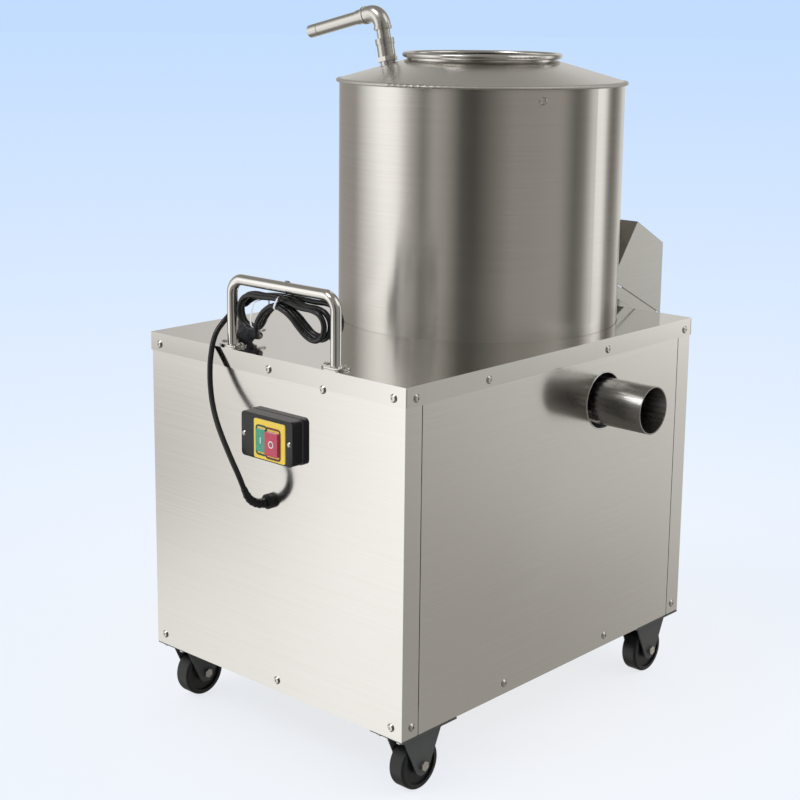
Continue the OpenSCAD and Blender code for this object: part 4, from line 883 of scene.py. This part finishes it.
world = bpy.data.worlds.new("studio")
world.use_nodes = True
bpy.context.scene.world = world
sky = world.node_tree
for old in list(sky.nodes):
    sky.nodes.remove(old)
looking = add(sky, "SeparateXYZ", {"Vector": add(sky, "TexCoord").outputs["Generated"]})
height = looking.outputs["Z"]
forward = add(sky, "Math", {0: looking.outputs["Y"], 1: -1.0}, operation="MULTIPLY")
compass = add(sky, "Math", {
    0: looking.outputs["X"], 1: forward.outputs["Value"]}, operation="ARCTAN2")
turn_share = add(sky, "MapRange", {
    "Value": compass.outputs["Value"], "From Min": -math.pi, "From Max": math.pi})
round_share = turn_share.outputs["Result"]
low, panels, middle = [
    ring_of_light(sky, round_share, levels) for levels in (low_ring, panel_ring, middle_ring)]
steel_sees = blend(sky, height, -0.36, -0.29, low, panels)
steel_sees = blend(sky, height, -0.23, -0.16, steel_sees, middle)
steel_sees = blend(sky, height, 0.3, 0.62, steel_sees, grey(124))
steel_sees = blend(sky, height, -0.55, -0.85, steel_sees, grey(118))
print("rings of", len(low_ring), len(panel_ring), "and", len(middle_ring), "stops")

# %% [markdown]
# ## The backdrop and the lamps
# What the camera sees behind the machine is a pale blue, the same as the far floor. Two soft suns
# add a little shape, the shadow on the floor and the small glints on screws.

# %% Backdrop and suns
backdrop = colour("#C2DDFF")
even = add(sky, "Background", {"Color": (0.74, 0.75, 0.77, 1), "Strength": 1.0})
shiny = add(sky, "Background", {"Color": steel_sees, "Strength": 1.0})
seen = add(sky, "Background", {"Color": backdrop, "Strength": 1.0})
ray = add(sky, "LightPath")
lit = add(sky, "MixShader", {
    0: ray.outputs["Is Glossy Ray"], 1: even.outputs[0], 2: shiny.outputs[0]})
clear = add(sky, "Math", {
    0: ray.outputs["Is Camera Ray"], 1: ray.outputs["Is Transmission Ray"]}, operation="MAXIMUM")
shown = add(sky, "MixShader", {
    0: clear.outputs["Value"], 1: lit.outputs[0], 2: seen.outputs[0]})
out = add(sky, "OutputWorld", {"Surface": shown.outputs[0]})


def sun(name, turn, rise_angle, strength, softness):
    """A soft sun from a compass direction and a height, both in degrees."""
    lamp = bpy.data.lights.new(name, "SUN")
    lamp.energy = strength
    lamp.angle = math.radians(softness)
    made = bpy.data.objects.new(name, lamp)
    bpy.context.collection.objects.link(made)
    t, r = math.radians(turn), math.radians(rise_angle)
    towards = Vector((math.sin(t) * math.cos(r), -math.cos(t) * math.cos(r), math.sin(r)))
    made.rotation_euler = towards.to_track_quat("Z", "Y").to_euler()
    return made


sun("key_light", -18, 52, 0.75, 24)
sun("fill_light", 118, 42, 0.35, 40)
print("suns", [lamp.name for lamp in bpy.data.lights])

# %% [markdown]
# ## The floor
# The floor is a large pale disc. It darkens only where the machine stands over it, which is the
# soft shadow under the casters. Its colour goes from near white by the machine to the blue of the
# backdrop, by the distance from the machine. Most of what the camera sees of it is its own glow,
# as of a lit sweep of paper, so the shadow stays light. Reflections pass through it, so the steel
# mirrors the studio's rings and not a second machine.

# %% Floor
floor_radius = 60
glow_share = 0.8
floor_builder = bmesh.new()
bmesh.ops.create_circle(floor_builder, cap_ends=True, radius=floor_radius, segments=96)
floor_mesh = bpy.data.meshes.new("floor")
floor_builder.to_mesh(floor_mesh)
floor_builder.free()
floor = bpy.data.objects.new("floor", floor_mesh)
bpy.context.collection.objects.link(floor)
floor.location = (0, 0, -0.0005)
floor_paint, floor_tree, floor_shader = finish("studio_floor", Roughness=0.9)
floor_shader.inputs["Specular IOR Level"].default_value = 0.0
away = add(floor_tree, "VectorMath", {
    0: add(floor_tree, "TexCoord").outputs["Object"]}, operation="LENGTH")
# Half way to the backdrop's colour at this many metres
halfway = add(floor_tree, "Math", {0: away.outputs["Value"], 1: 2.2}, operation="ADD")
faded = add(floor_tree, "Math", {
    0: away.outputs["Value"], 1: halfway.outputs["Value"]}, operation="DIVIDE")
sweep = add(floor_tree, "MixRGB", {
    "Fac": faded.outputs["Value"], "Color1": colour("#FFFFFF"), "Color2": backdrop})
floor_tree.links.new(sweep.outputs["Color"], floor_shader.inputs["Base Color"])
glow = add(floor_tree, "Emission", {"Color": sweep.outputs["Color"], "Strength": 1.0})
gone = add(floor_tree, "BsdfTransparent")
floor_ray = add(floor_tree, "LightPath")
camera_share = add(floor_tree, "Math", {
    0: floor_ray.outputs["Is Camera Ray"], 1: glow_share}, operation="MULTIPLY")
lit_paper = add(floor_tree, "MixShader", {
    0: camera_share.outputs["Value"], 1: floor_shader.outputs[0], 2: glow.outputs[0]})
floor_mix = add(floor_tree, "MixShader", {
    0: floor_ray.outputs["Is Glossy Ray"], 1: lit_paper.outputs[0], 2: gone.outputs[0]})
floor_tree.links.new(floor_mix.outputs[0], floor_tree.nodes["Material Output"].inputs["Surface"])
floor.data.materials.append(floor_paint)
bpy.context.scene.view_settings.view_transform = "Standard"
print("floor of radius", floor_radius)
